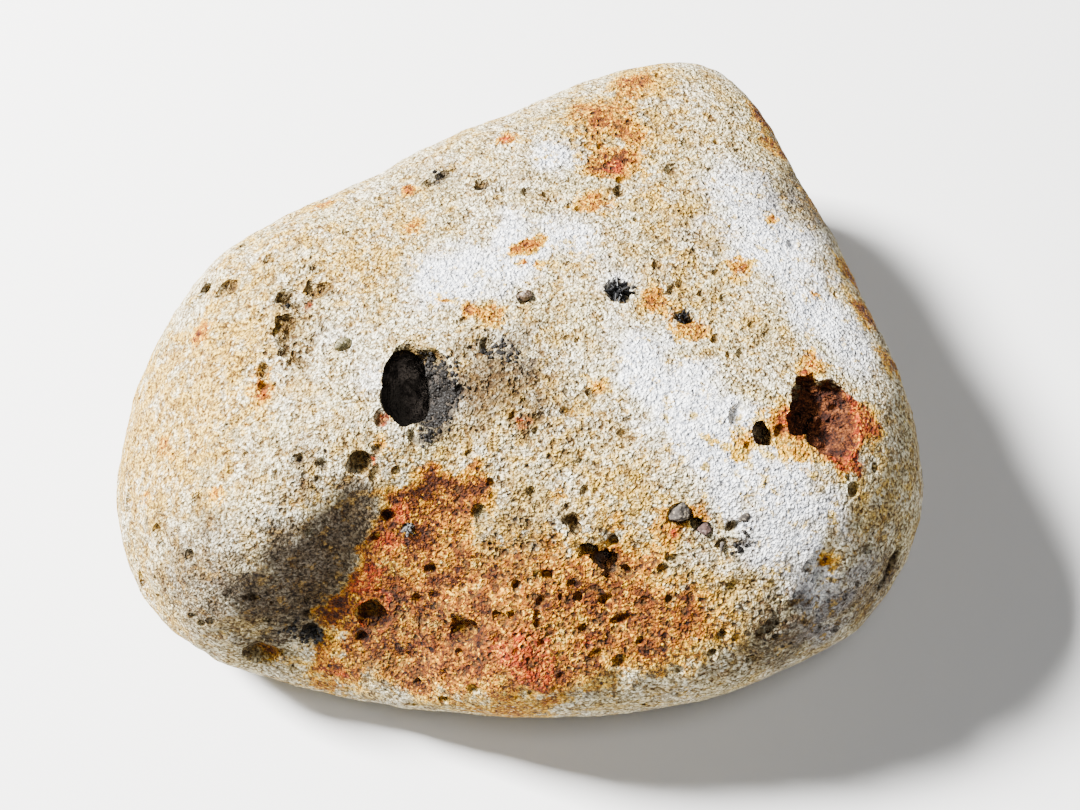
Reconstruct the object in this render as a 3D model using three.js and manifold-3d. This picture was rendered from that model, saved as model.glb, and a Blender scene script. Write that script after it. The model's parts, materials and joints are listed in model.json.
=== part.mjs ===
// Pumice stone: one water-worn volcanic pebble, flat-bellied, with gas bubbles
// (vesicles) open on its surface and a few foreign grains and crystals lodged in them.
// Millimetres, +Z up. The stone rests on its worn belly at z = 0.
import * as THREE from 'three';
import { mergeVertices } from 'three/addons/utils/BufferGeometryUtils.js';
import Module from 'manifold-3d';

// ---- driving dimensions ----
const CORE_Z = 16;            // height of the point that the facets are measured from
const EDGE_SHARPNESS = 0.3;   // per mm: how tightly the worn facets round into each other
const SCAR_SHARPNESS = 0.5;   // per mm: how tightly the spall scar rounds into the stone
const STONE_DETAIL = 13;      // subdivision of the stone's faceted surface
const SEAT_GAP = 0.3;         // clearance between a lodged grain and its seat
const ORIGIN_RAY_MAX = 90;    // farther from the core than any point of the stone

// Worn facets: compass angle in plan from +X, tilt above the horizon, distance from the core
const FACETS = [
  { turn: 95, tilt: 86, out: 18.5 },    // broad top, falling slightly to the back
  { turn: 0, tilt: -90, out: 17 },      // belly
  { turn: 18, tilt: 0, out: 40 },       // right side
  { turn: 46, tilt: 5, out: 52 },     // right back shoulder
  { turn: 94, tilt: 8, out: 45.5 },     // blunt back tip
  { turn: 122, tilt: 8, out: 32.5 },    // straight left back side
  { turn: 160, tilt: 12, out: 44.5 },   // left end
  { turn: 185, tilt: 14, out: 49 },
  { turn: 212, tilt: 8, out: 52.5 },   // left front lobe
  { turn: 240, tilt: 0, out: 46 },
  { turn: 264, tilt: -12, out: 38.5 },  // undercut front rim
  { turn: 290, tilt: -14, out: 41.5 },
  { turn: 315, tilt: -8, out: 54 },     // right front bulge
  { turn: 345, tilt: -10, out: 49.5 },
  { turn: 268, tilt: 51, out: 29 },     // sloping front facet
  { turn: 195, tilt: 50, out: 33 },     // left shoulder
  { turn: 15, tilt: 55, out: 36 },      // right shoulder
  { turn: 120, tilt: 58, out: 30 },     // back shoulder
  { turn: 318, tilt: 28, out: 44 },     // right front flank
  { turn: 75, tilt: -45, out: 37 },     // undersides that rise to the rim
  { turn: 130, tilt: -45, out: 29 },
  { turn: 190, tilt: -45, out: 43 },
  { turn: 235, tilt: -50, out: 40 },
  { turn: 285, tilt: -50, out: 37 },
  { turn: 345, tilt: -48, out: 39 },
];

// Spall scar on the front facet: a slanting trough and one very shallow dish beside it
const TROUGH_TOP = new THREE.Vector3(-7, -28, 42);
const TROUGH_FOOT = new THREE.Vector3(-25, -45, 19);
const TROUGH_R = 14;
const DISH_CENTRE = new THREE.Vector3(2, -66, 83);
const DISH_R = 66.5;

// Vesicles: a point of the surface, half widths along and across, depth, turn in degrees
const VESICLES = [
  { at: [-11.5, -10, 34.5], half: [3.7, 5.4], deep: 9, turn: 5 },      // large dark hole
  { at: [-9, -9, 34.5], half: [2.4, 3.6], deep: 5, turn: 12 },
  { at: [-14, -13.5, 34], half: [1.0, 1.2], deep: 1.6, turn: 0 },
  { at: [30, -11.5, 34], half: [3.7, 5.0], deep: 7, turn: -20 },       // large rusty hole
  { at: [33.5, -14.5, 33.5], half: [3.0, 3.8], deep: 5, turn: 35 },
  { at: [29.5, -15.5, 34], half: [2.2, 2.2], deep: 4, turn: 0 },
  { at: [24.5, -15.5, 34.5], half: [1.4, 2.1], deep: 4.5, turn: 8 },   // its dark neighbour
  { at: [22, -13.5, 35], half: [0.8, 1.3], deep: 1.6, turn: -30 },
  { at: [6.5, -24.5, 29.5], half: [1.0, 1.3], deep: 2.2, turn: 20 },   // ragged front cavity
  { at: [8, -26, 28.5], half: [1.4, 1.8], deep: 3.2, turn: 30 },
  { at: [9.5, -28, 27.5], half: [1.9, 1.6], deep: 3.2, turn: 0 },
  { at: [-15.5, -28.5, 18], half: [2.1, 1.6], deep: 2.6, turn: 0 },    // pits of the scar
  { at: [-4, -21.5, 28.5], half: [0.9, 1.2], deep: 2.2, turn: 0 },
  { at: [15, -28, 28], half: [0.8, 0.9], deep: 1.8, turn: 0 },
  { at: [7.5, -34.5, 22.5], half: [1.0, 0.9], deep: 1.8, turn: 0 },
  { at: [-27.5, -30.5, 13.5], half: [1.8, 1.9], deep: 2.4, turn: 0 },  // pits of the left lobe
  { at: [-27, -27.5, 22], half: [1.0, 0.8], deep: 1.8, turn: -20 },
  { at: [-38, -20, 21.5], half: [0.9, 1.0], deep: 1.6, turn: 0 },
  { at: [-16, -18, 32], half: [1.5, 1.4], deep: 2.4, turn: 0 },        // row above the scar
  { at: [-20, -18, 32.5], half: [1.1, 0.7], deep: 1.8, turn: 10 },
  { at: [-23, -17.5, 32], half: [1.5, 0.8], deep: 2, turn: 25 },
  { at: [-24.5, -3.5, 33], half: [1.1, 1.9], deep: 2.4, turn: 10 },    // pits of the left top
  { at: [-23, -6.5, 33.5], half: [1.3, 1.4], deep: 2.4, turn: 0 },
  { at: [-27, -8, 32], half: [0.8, 1.7], deep: 2, turn: 0 },
  { at: [-25, 2.5, 33], half: [1.3, 1.1], deep: 2.2, turn: 0 },
  { at: [-22, 3, 33], half: [1.4, 1.0], deep: 2.2, turn: -15 },
  { at: [-9, 19, 32], half: [1.9, 1.0], deep: 2, turn: 15 },           // pits of the back
  { at: [-4.5, 17.5, 32.5], half: [1.0, 1.1], deep: 2.2, turn: -30 },
  { at: [11, 16, 33], half: [0.9, 0.9], deep: 2, turn: 0 },
  { at: [17, 20, 33], half: [1.0, 1.1], deep: 2, turn: 0 },
  { at: [-3, -5.5, 34.5], half: [1.1, 1.2], deep: 2, turn: 0 },
  { at: [39.5, -24, 17.5], half: [0.9, 3.1], deep: 2.6, turn: -50 },   // slit in the right side
];

// Lodged grains: a point of the surface, half sizes in plan and height, how far proud it sits
const GRAINS = [
  { name: 'lithic_grain_large', at: [16, -23, 31.5], half: [1.3, 1.1, 1.0], proud: 0.1, turn: 20 },
  { name: 'lithic_grain_mid', at: [18.6, -24.6, 31], half: [0.8, 0.7, 0.7], proud: 0, turn: 0 },
  { name: 'lithic_grain_small', at: [20.6, -26.2, 30.5], half: [0.7, 0.6, 0.6], proud: 0, turn: 40 },
  { name: 'lithic_grain_outer', at: [22, -23.2, 31.6], half: [0.8, 0.7, 0.6], proud: -0.2, turn: 10 },
  { name: 'sand_grain_round', at: [0.5, 1, 34.5], half: [0.8, 0.7, 0.7], proud: 0.1, turn: 0 },
  { name: 'sand_grain_oval', at: [-18.5, -4.5, 34], half: [1.0, 0.8, 0.7], proud: -0.1, turn: 25 },
];

// Crystals: the same, with flat faces
const CRYSTALS = [
  { name: 'dark_crystal_centre', at: [10.5, 2, 34.5], half: [1.2, 1.5, 1.1], proud: -0.1, turn: 30 },
  { name: 'dark_crystal_right', at: [17, -1.5, 34.5], half: [0.8, 0.6, 0.7], proud: -0.2, turn: 15 },
  { name: 'pale_crystal_scar', at: [-11.5, -22, 26], half: [0.7, 0.6, 0.7], proud: 0.1, turn: 40 },
];

// ---- the stone's form ----
const CORE = new THREE.Vector3(0, 0, CORE_Z);

const facetNormals = FACETS.map((facet) => {
  const turn = THREE.MathUtils.degToRad(facet.turn);
  const tilt = THREE.MathUtils.degToRad(facet.tilt);
  const flat = Math.cos(tilt);
  return new THREE.Vector3(flat * Math.cos(turn), flat * Math.sin(turn), Math.sin(tilt));
});

// A maximum whose corner is rounded: the higher the sharpness, the tighter the corner
function roundedMax(values, sharpness) {
  const top = Math.max(...values);
  const sum = values.reduce((total, value) => total + Math.exp(sharpness * (value - top)), 0);
  return top + Math.log(sum) / sharpness;
}

// Below zero inside the stone, above zero outside, in about millimetres
function stoneField(point) {
  const fromCore = point.clone().sub(CORE);
  const heights = facetNormals.map((normal, i) => fromCore.dot(normal) - FACETS[i].out);
  let field = roundedMax(heights, EDGE_SHARPNESS);
  const trough = new THREE.Line3(TROUGH_TOP, TROUGH_FOOT);
  const nearest = trough.closestPointToPoint(point, true, new THREE.Vector3());
  field = roundedMax([field, TROUGH_R - point.distanceTo(nearest)], SCAR_SHARPNESS);
  field = roundedMax([field, DISH_R - point.distanceTo(DISH_CENTRE)], SCAR_SHARPNESS);
  return field;
}

// The surface point in a given direction from the core, by halving the interval
function surfacePoint(direction) {
  let near = 2;
  let far = ORIGIN_RAY_MAX;
  const point = new THREE.Vector3();
  for (let step = 0; step < 24; step += 1) {
    const middle = (near + far) / 2;
    point.copy(CORE).addScaledVector(direction, middle);
    if (stoneField(point) < 0) near = middle;
    else far = middle;
  }
  return point.copy(CORE).addScaledVector(direction, (near + far) / 2);
}

function surfaceNormal(point) {
  const step = 0.05;
  const slope = (axis) => {
    const ahead = point.clone().addScaledVector(axis, step);
    const behind = point.clone().addScaledVector(axis, -step);
    return stoneField(ahead) - stoneField(behind);
  };
  const x = slope(new THREE.Vector3(1, 0, 0));
  const y = slope(new THREE.Vector3(0, 1, 0));
  const z = slope(new THREE.Vector3(0, 0, 1));
  return new THREE.Vector3(x, y, z).normalize();
}

// A frame that sits on the surface: Z out of the stone, X as near to the world's X as it can be
function surfaceFrame(at, turnDegrees) {
  const foot = surfacePoint(new THREE.Vector3(...at).sub(CORE).normalize());
  const out = surfaceNormal(foot);
  const along = new THREE.Vector3(1, 0, 0).addScaledVector(out, -out.x).normalize();
  const across = new THREE.Vector3().crossVectors(out, along);
  const frame = new THREE.Matrix4().makeBasis(along, across, out).setPosition(foot);
  const turn = new THREE.Matrix4().makeRotationZ(THREE.MathUtils.degToRad(turnDegrees));
  return frame.multiply(turn);
}

// ---- booleans ----
const wasm = await Module();
wasm.setup();

function closedGeometry(geometry) {
  geometry.deleteAttribute('normal');
  geometry.deleteAttribute('uv');
  return mergeVertices(geometry, 1e-4);
}

function toSolid(geometry) {
  const mesh = new wasm.Mesh({
    numProp: 3,
    vertProperties: new Float32Array(geometry.attributes.position.array),
    triVerts: new Uint32Array(geometry.index.array),
  });
  return new wasm.Manifold(mesh);
}

function toGeometry(solid) {
  const mesh = solid.getMesh();
  const geometry = new THREE.BufferGeometry();
  geometry.setAttribute('position', new THREE.BufferAttribute(mesh.vertProperties, 3));
  geometry.setIndex(new THREE.BufferAttribute(mesh.triVerts, 1));
  geometry.computeVertexNormals();
  return geometry;
}

// A lumpy ball whose half sizes are given, with slow waves that make no two alike
function lumpyBall(half, detail, waviness, seed) {
  const geometry = closedGeometry(new THREE.IcosahedronGeometry(1, detail));
  const position = geometry.attributes.position;
  const point = new THREE.Vector3();
  for (let i = 0; i < position.count; i += 1) {
    point.fromBufferAttribute(position, i).normalize();
    const wave = Math.sin(3 * point.x + seed) * Math.cos(2.5 * point.y - seed)
      + 0.6 * Math.sin(4 * point.z + 2 * seed);
    point.multiplyScalar(1 + waviness * wave);
    position.setXYZ(i, point.x * half[0], point.y * half[1], point.z * half[2]);
  }
  return geometry;
}

// ---- pumice body ----
const stoneGeometry = closedGeometry(new THREE.IcosahedronGeometry(1, STONE_DETAIL));
const stonePosition = stoneGeometry.attributes.position;
for (let i = 0; i < stonePosition.count; i += 1) {
  const direction = new THREE.Vector3().fromBufferAttribute(stonePosition, i).normalize();
  const point = surfacePoint(direction);
  stonePosition.setXYZ(i, point.x, point.y, point.z);
}
let stone = toSolid(stoneGeometry);

// The belly is ground flat where the stone lies
const belowFloor = new THREE.BoxGeometry(200, 200, 50).translate(0, 0, -25);
stone = stone.subtract(toSolid(closedGeometry(belowFloor)));

// Each bubble's centre is a little under the surface, so its mouth is narrower than its belly
VESICLES.forEach((vesicle, i) => {
  const [along, across] = vesicle.half;
  const radius = vesicle.deep * 0.6;
  const detail = along > 1.4 ? 2 : 1;
  const bubble = lumpyBall([along * 1.08, across * 1.08, radius], detail, 0.06, i);
  bubble.translate(0, 0, radius - vesicle.deep);
  bubble.applyMatrix4(surfaceFrame(vesicle.at, vesicle.turn));
  stone = stone.subtract(toSolid(bubble));
});

// Seats of the lodged grains and crystals
[...GRAINS, ...CRYSTALS].forEach((grain, i) => {
  const half = grain.half.map((size) => size + SEAT_GAP + 0.15);
  const seat = lumpyBall(half, 1, 0, i);
  seat.translate(0, 0, grain.proud);
  seat.applyMatrix4(surfaceFrame(grain.at, grain.turn));
  stone = stone.subtract(toSolid(seat));
});

const pumiceMaterial = new THREE.MeshStandardMaterial({
  color: '#cfc6b4',
  roughness: 0.95,
  metalness: 0,
});
const pumiceBody = new THREE.Mesh(toGeometry(stone), pumiceMaterial);
pumiceBody.name = 'pumice_body';

// ---- lodged grains ----
const lithicMaterial = new THREE.MeshStandardMaterial({
  color: '#857c76',
  roughness: 0.85,
  metalness: 0,
});
const sandMaterial = new THREE.MeshStandardMaterial({
  color: '#9d8b78',
  roughness: 0.7,
  metalness: 0,
});
const grainMeshes = GRAINS.map((grain, i) => {
  const detail = grain.half[0] > 1.1 ? 2 : 1;
  const geometry = lumpyBall(grain.half, detail, 0.04, i + 3);
  geometry.computeVertexNormals();
  const isSand = grain.name.startsWith('sand');
  const mesh = new THREE.Mesh(geometry, isSand ? sandMaterial : lithicMaterial);
  mesh.name = grain.name;
  geometry.translate(0, 0, grain.proud);
  mesh.applyMatrix4(surfaceFrame(grain.at, grain.turn));
  return mesh;
});

// ---- crystals ----
const darkMaterial = new THREE.MeshStandardMaterial({
  color: '#2b2c2f',
  roughness: 0.35,
  metalness: 0,
});
const paleMaterial = new THREE.MeshStandardMaterial({
  color: '#dfe1e4',
  roughness: 0.25,
  metalness: 0,
});
const crystalMeshes = CRYSTALS.map((crystal) => {
  const geometry = closedGeometry(new THREE.DodecahedronGeometry(1, 0));
  geometry.scale(...crystal.half);
  geometry.computeVertexNormals();
  const isPale = crystal.name.startsWith('pale');
  const mesh = new THREE.Mesh(geometry, isPale ? paleMaterial : darkMaterial);
  mesh.name = crystal.name;
  geometry.translate(0, 0, crystal.proud);
  mesh.applyMatrix4(surfaceFrame(crystal.at, crystal.turn));
  return mesh;
});

const part = new THREE.Group();
part.add(pumiceBody, ...grainMeshes, ...crystalMeshes);
export default part;
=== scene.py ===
import json
import math

import bmesh
import bpy
import numpy as np
from mathutils import Matrix, Vector, noise

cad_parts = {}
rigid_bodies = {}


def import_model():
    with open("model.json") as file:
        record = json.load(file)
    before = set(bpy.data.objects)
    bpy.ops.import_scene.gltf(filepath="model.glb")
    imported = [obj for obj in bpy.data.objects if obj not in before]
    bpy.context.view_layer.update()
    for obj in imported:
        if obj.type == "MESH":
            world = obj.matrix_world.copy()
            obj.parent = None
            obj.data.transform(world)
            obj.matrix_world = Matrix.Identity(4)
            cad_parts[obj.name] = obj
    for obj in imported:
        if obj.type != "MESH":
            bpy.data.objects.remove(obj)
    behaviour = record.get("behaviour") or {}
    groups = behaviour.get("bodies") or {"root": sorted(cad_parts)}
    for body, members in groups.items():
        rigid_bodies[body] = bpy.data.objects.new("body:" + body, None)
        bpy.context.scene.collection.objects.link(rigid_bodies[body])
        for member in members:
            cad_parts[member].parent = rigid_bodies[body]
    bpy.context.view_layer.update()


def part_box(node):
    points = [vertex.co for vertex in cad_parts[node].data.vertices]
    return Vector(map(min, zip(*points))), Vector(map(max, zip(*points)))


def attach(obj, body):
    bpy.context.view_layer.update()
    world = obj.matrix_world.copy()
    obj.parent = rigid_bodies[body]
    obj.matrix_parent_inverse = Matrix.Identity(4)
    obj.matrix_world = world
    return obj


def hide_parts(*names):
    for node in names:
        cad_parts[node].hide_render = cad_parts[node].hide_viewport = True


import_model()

# Pumice body: the stone is frothed volcanic glass, cooled as one piece and rounded by water.
# Its form is a set of worn facets that round into each other, with a spall scar on the front.
# The gas bubbles that wear has opened are cut out of it afterwards.
MM = 0.001  # a millimetre in metres: sizes are in mm, and meshes in metres
CORE = (0, 0, 16)
EDGE_SHARPNESS, SCAR_SHARPNESS = 0.3, 0.5  # the lower, the rounder
NEAREST_SKIN, FARTHEST_SKIN, HALVINGS = 2.0, 90.0, 22  # the search for the skin from the core
SLOPE_STEP = 0.05  # to each side of a point, for the skin's slope there
SKIN_GRID = 0.75  # the spacing of the body's even mesh
WORN_FACETS = (  # compass angle in plan from +X, tilt above the horizon, distance from the core
    (95, 86, 18.5),
    (0, -90, 17),
    (18, 0, 40),
    (46, 5, 52),
    (94, 8, 45.5),
    (122, 8, 32.5),
    (160, 12, 44.5),
    (185, 14, 49),
    (212, 8, 52.5),
    (240, 0, 46),
    (264, -12, 38.5),
    (290, -14, 41.5),
    (315, -8, 54),
    (345, -10, 49.5),
    (268, 51, 29),
    (195, 50, 33),
    (15, 55, 36),
    (120, 58, 30),
    (318, 28, 44),
    (75, -45, 37),
    (130, -45, 29),
    (190, -45, 43),
    (235, -50, 40),
    (285, -50, 37),
    (345, -48, 39),
)
TROUGH_TOP, TROUGH_FOOT, TROUGH_R = (-7, -28, 42), (-25, -45, 19), 14.0  # the scar's round groove
DISH_CENTRE, DISH_R = (2, -66, 83), 66.5  # and its wide shallow dish


def facet_normals():
    """Outward unit normals of the worn facets, and their distances from the core."""
    turn, tilt, out = np.array(WORN_FACETS, float).T
    turn, tilt = np.radians((turn, tilt))
    flat = np.cos(tilt)
    return np.stack([flat * np.cos(turn), flat * np.sin(turn), np.sin(tilt)], -1), out


def rounded_max(a, b, sharpness):
    """The larger of a and b, with the corner between them rounded."""
    return np.logaddexp(sharpness * a, sharpness * b) / sharpness


def height_over_skin(points):
    """About how far each point, in mm, lies outside the worn stone. It is negative inside."""
    normals, out = facet_normals()
    over = EDGE_SHARPNESS * ((points - CORE) @ normals.T - out)
    top = over.max(-1)
    field = (top + np.log(np.exp(over - top[:, None]).sum(-1))) / EDGE_SHARPNESS
    run = np.subtract(TROUGH_FOOT, TROUGH_TOP)
    share = np.clip((points - TROUGH_TOP) @ run / (run @ run), 0, 1)
    trough = TROUGH_R - np.linalg.norm(points - TROUGH_TOP - share[:, None] * run, axis=-1)
    dish = DISH_R - np.linalg.norm(points - DISH_CENTRE, axis=-1)
    return rounded_max(rounded_max(field, trough, SCAR_SHARPNESS), dish, SCAR_SHARPNESS)


def on_skin(directions):
    """The points, in mm, where rays from the core in these directions leave the stone."""
    directions = directions / np.linalg.norm(directions, axis=-1, keepdims=True)
    near, far = np.full(len(directions), NEAREST_SKIN), np.full(len(directions), FARTHEST_SKIN)
    for _ in range(HALVINGS):
        middle = (near + far) / 2
        inside = height_over_skin(CORE + directions * middle[:, None]) < 0
        near, far = np.where(inside, middle, near), np.where(inside, far, middle)
    return CORE + directions * ((near + far) / 2)[:, None]


def skin_normals(points):
    """Outward unit normals of the worn stone at points on or near it."""
    steps = SLOPE_STEP * np.eye(3)
    slope = [height_over_skin(points + s) - height_over_skin(points - s) for s in steps]
    slope = np.stack(slope, -1)
    return slope / np.linalg.norm(slope, axis=-1, keepdims=True)


def vertices_mm(mesh):
    """A mesh's vertices as an array in mm."""
    flat = np.empty(len(mesh.vertices) * 3, np.float32)
    mesh.vertices.foreach_get("co", flat)
    return flat.reshape(-1, 3).astype(float) / MM


def set_vertices_mm(mesh, points):
    """Moves a mesh's vertices to these places in mm."""
    mesh.vertices.foreach_set("co", (points * MM).astype(np.float32).ravel())
    mesh.update()


WAVE_DECAY, WAVE_GROWTH = 0.9, 2.1  # from each octave of noise to the next finer one


def waves(points, size, octaves, shift):
    """Smooth noise from about -1 to 1 at each point, with waves of about that size in mm."""
    places = points / size + shift
    return np.array([noise.fractal(Vector(p), WAVE_DECAY, WAVE_GROWTH, octaves) for p in places])


def linked(name, mesh):
    """A new object with this mesh, in the scene."""
    thing = bpy.data.objects.new(name, mesh)
    bpy.context.scene.collection.objects.link(thing)
    return thing


def settled(thing):
    """The object's mesh with its modifiers worked out, as a plain mesh without modifiers."""
    depsgraph = bpy.context.evaluated_depsgraph_get()
    mesh = bpy.data.meshes.new_from_object(thing.evaluated_get(depsgraph))
    thing.modifiers.clear()
    old, thing.data = thing.data, mesh
    bpy.data.meshes.remove(old)
    return mesh


def ball(name, subdivisions):
    """The mesh of a ball of triangles with a radius of 1 mm."""
    mesh = bpy.data.meshes.new(name)
    maker = bmesh.new()
    bmesh.ops.create_icosphere(maker, subdivisions=subdivisions, radius=MM)
    maker.to_mesh(mesh)
    maker.free()
    return mesh


STAIN_END = 1.25  # where a stain has faded out, in times its reach
FULL_STAIN = 0.98


def stain(points, places, blur):
    """How strongly these stains colour each point. The blur breaks up their edges."""
    clean = np.ones(len(points))
    for place_mm, reach, strength in places:
        away = np.linalg.norm(points - place_mm, axis=-1) / (reach * blur)
        clean *= 1 - np.minimum(strength * np.clip(STAIN_END - away, 0, 1), FULL_STAIN)
    return 1 - clean


# Places where the froth is coarse and open: a point on the skin, its reach in mm and how open
OPEN_PATCHES = (
    ((0, -28, 27), 12, 1), ((8, -33, 24), 10, 1), ((-9, -31, 20), 9, 0.9), ((-6, -22, 28), 5, 0.5),
    ((15, -31, 27), 8, 0.9), ((-15, -32, 14), 7, 0.6), ((9, 27, 32), 7, 0.9), ((10, 20, 33), 5, 0.9),
    ((14, 33, 30), 5, 0.6), ((-3, -8, 34.5), 8, 0.8), ((3, -14, 34), 7, 0.7), ((-24, -3, 33), 7, 0.9),
    ((-23, 4, 33), 6, 0.8), ((-22, -17, 32), 6, 0.5), ((24, -31, 25), 9, 0.9), ((32, -27, 23), 7, 0.6),
    ((18, -24, 31), 5, 0.6), ((17, 3, 34), 6, 0.8), ((18, 12, 33.5), 6, 0.7), ((24, -4, 34), 5, 0.5),
    ((-31, -27, 18), 9, 0.6), ((-38, -18, 21), 9, 0.4), ((-5, 16, 33), 7, 0.4),
    ((22, 22, 32.5), 7, 0.5), ((20, 30, 12), 16, 0.5), ((-25, 22, 12), 14, 0.4),
    ((43, -6, 14), 12, 0.4), ((0, 0, 0), 30, 0.25), ((-28, -8, 4), 12, 0.3),
)
DENSEST = 0.2
PATCH_BLUR = 0.35


def openness(points):
    """How open the froth is at each point, from DENSEST to about 1."""
    blur = 1 + PATCH_BLUR * waves(points, size=4, octaves=2, shift=83)
    return DENSEST + (1 - DENSEST) * stain(points, OPEN_PATCHES, blur)


def keep_numbers(mesh, name, numbers):
    """Stores one number for each vertex."""
    layer = mesh.attributes.get(name) or mesh.attributes.new(name, "FLOAT", "POINT")
    layer.data.foreach_set("value", numbers.astype(np.float32))


def keep_layers(mesh, name, *layers):
    """Stores four numbers for each vertex as one colour attribute."""
    layer = mesh.color_attributes.new(name, "FLOAT_COLOR", "POINT")
    numbers = np.stack(layers, -1)
    layer.data.foreach_set("color", numbers.astype(np.float32).ravel())


pumice = linked("pumice_body_skin", ball("pumice_body_skin", 7))
set_vertices_mm(pumice.data, on_skin(vertices_mm(pumice.data)))
grid = pumice.modifiers.new("even grid", "REMESH")
grid.mode = "VOXEL"
grid.voxel_size = SKIN_GRID * MM
settled(pumice)
SUNK = (  # softer patches that wear has lowered: a point on the skin, its reach, how much
    ((0, -29, 25.5), 8, 0.8), ((8, -31.5, 25.2), 7, 0.8), ((-8, -31, 20), 7, 0.8),
    ((-8.5, -21, 28), 4.5, 0.6), ((30.5, -13.5, 33.5), 6, 0.5), ((-23.5, -3, 33), 5, 0.5),
    ((-4, -7, 34.6), 4, 0.4), ((9, -26, 29), 3.5, 0.5), ((10, 21, 33), 4, 0.4),
)
FURROWS = (  # worn between two points on the skin, with a half width and a depth
    ((30.3, -27.6, 27.1), (31.2, -30.8, 17.5), 1.9, 0.35),
    ((30.6, -26.4, 28.1), (29.4, -31.9, 19.8), 0.75, 0.75),
    ((-2.0, -24.7, 27.3), (12.1, -26.8, 29.0), 0.9, 0.5),
    ((-5.0, -31.6, 21.3), (-8.0, -31.2, 20.6), 1.2, 0.9),
    ((-11.4, -32.8, 15.8), (-13, -32.4, 15.4), 1.3, 0.7),
)
SINK, SINK_BLUR = 0.6, 0.3  # how far the softest patches have sunk, and how broken their edges are
SINK_STEEPNESS, SINK_START = 1.8, 0.4  # how sharply a patch's edge falls, and how far in it starts
ROLLING, RIPPLES, FROTH_RIPPLES = 0.45, 0.18, 0.5  # heights of the skin's waves, coarse to fine


def unevenness(points):
    """How far wear has left the skin above or below its facets at each point, in mm."""
    uneven = ROLLING * waves(points, size=13, octaves=2, shift=3)
    uneven += RIPPLES * waves(points, size=3.4, octaves=2, shift=11)
    uneven += FROTH_RIPPLES * openness(points) * waves(points, size=1.9, octaves=2, shift=19)
    blur = 1 + SINK_BLUR * waves(points, size=3, octaves=2, shift=23)
    share = np.clip(SINK_STEEPNESS * stain(points, SUNK, blur) - SINK_START, 0, 1)
    uneven -= SINK * share * share * (3 - 2 * share)
    for start, end, half_width, depth in FURROWS:
        run = np.subtract(end, start)
        share = np.clip((points - start) @ run / (run @ run), 0, 1)
        away = np.linalg.norm(points - start - share[:, None] * run, axis=-1)
        uneven -= depth * np.exp(-((away / half_width) ** 2))
    return uneven


skin = vertices_mm(pumice.data)
skin = skin + skin_normals(skin) * unevenness(skin)[:, None]
skin[:, 2] = np.maximum(skin[:, 2], 0)
set_vertices_mm(pumice.data, skin)

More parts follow.
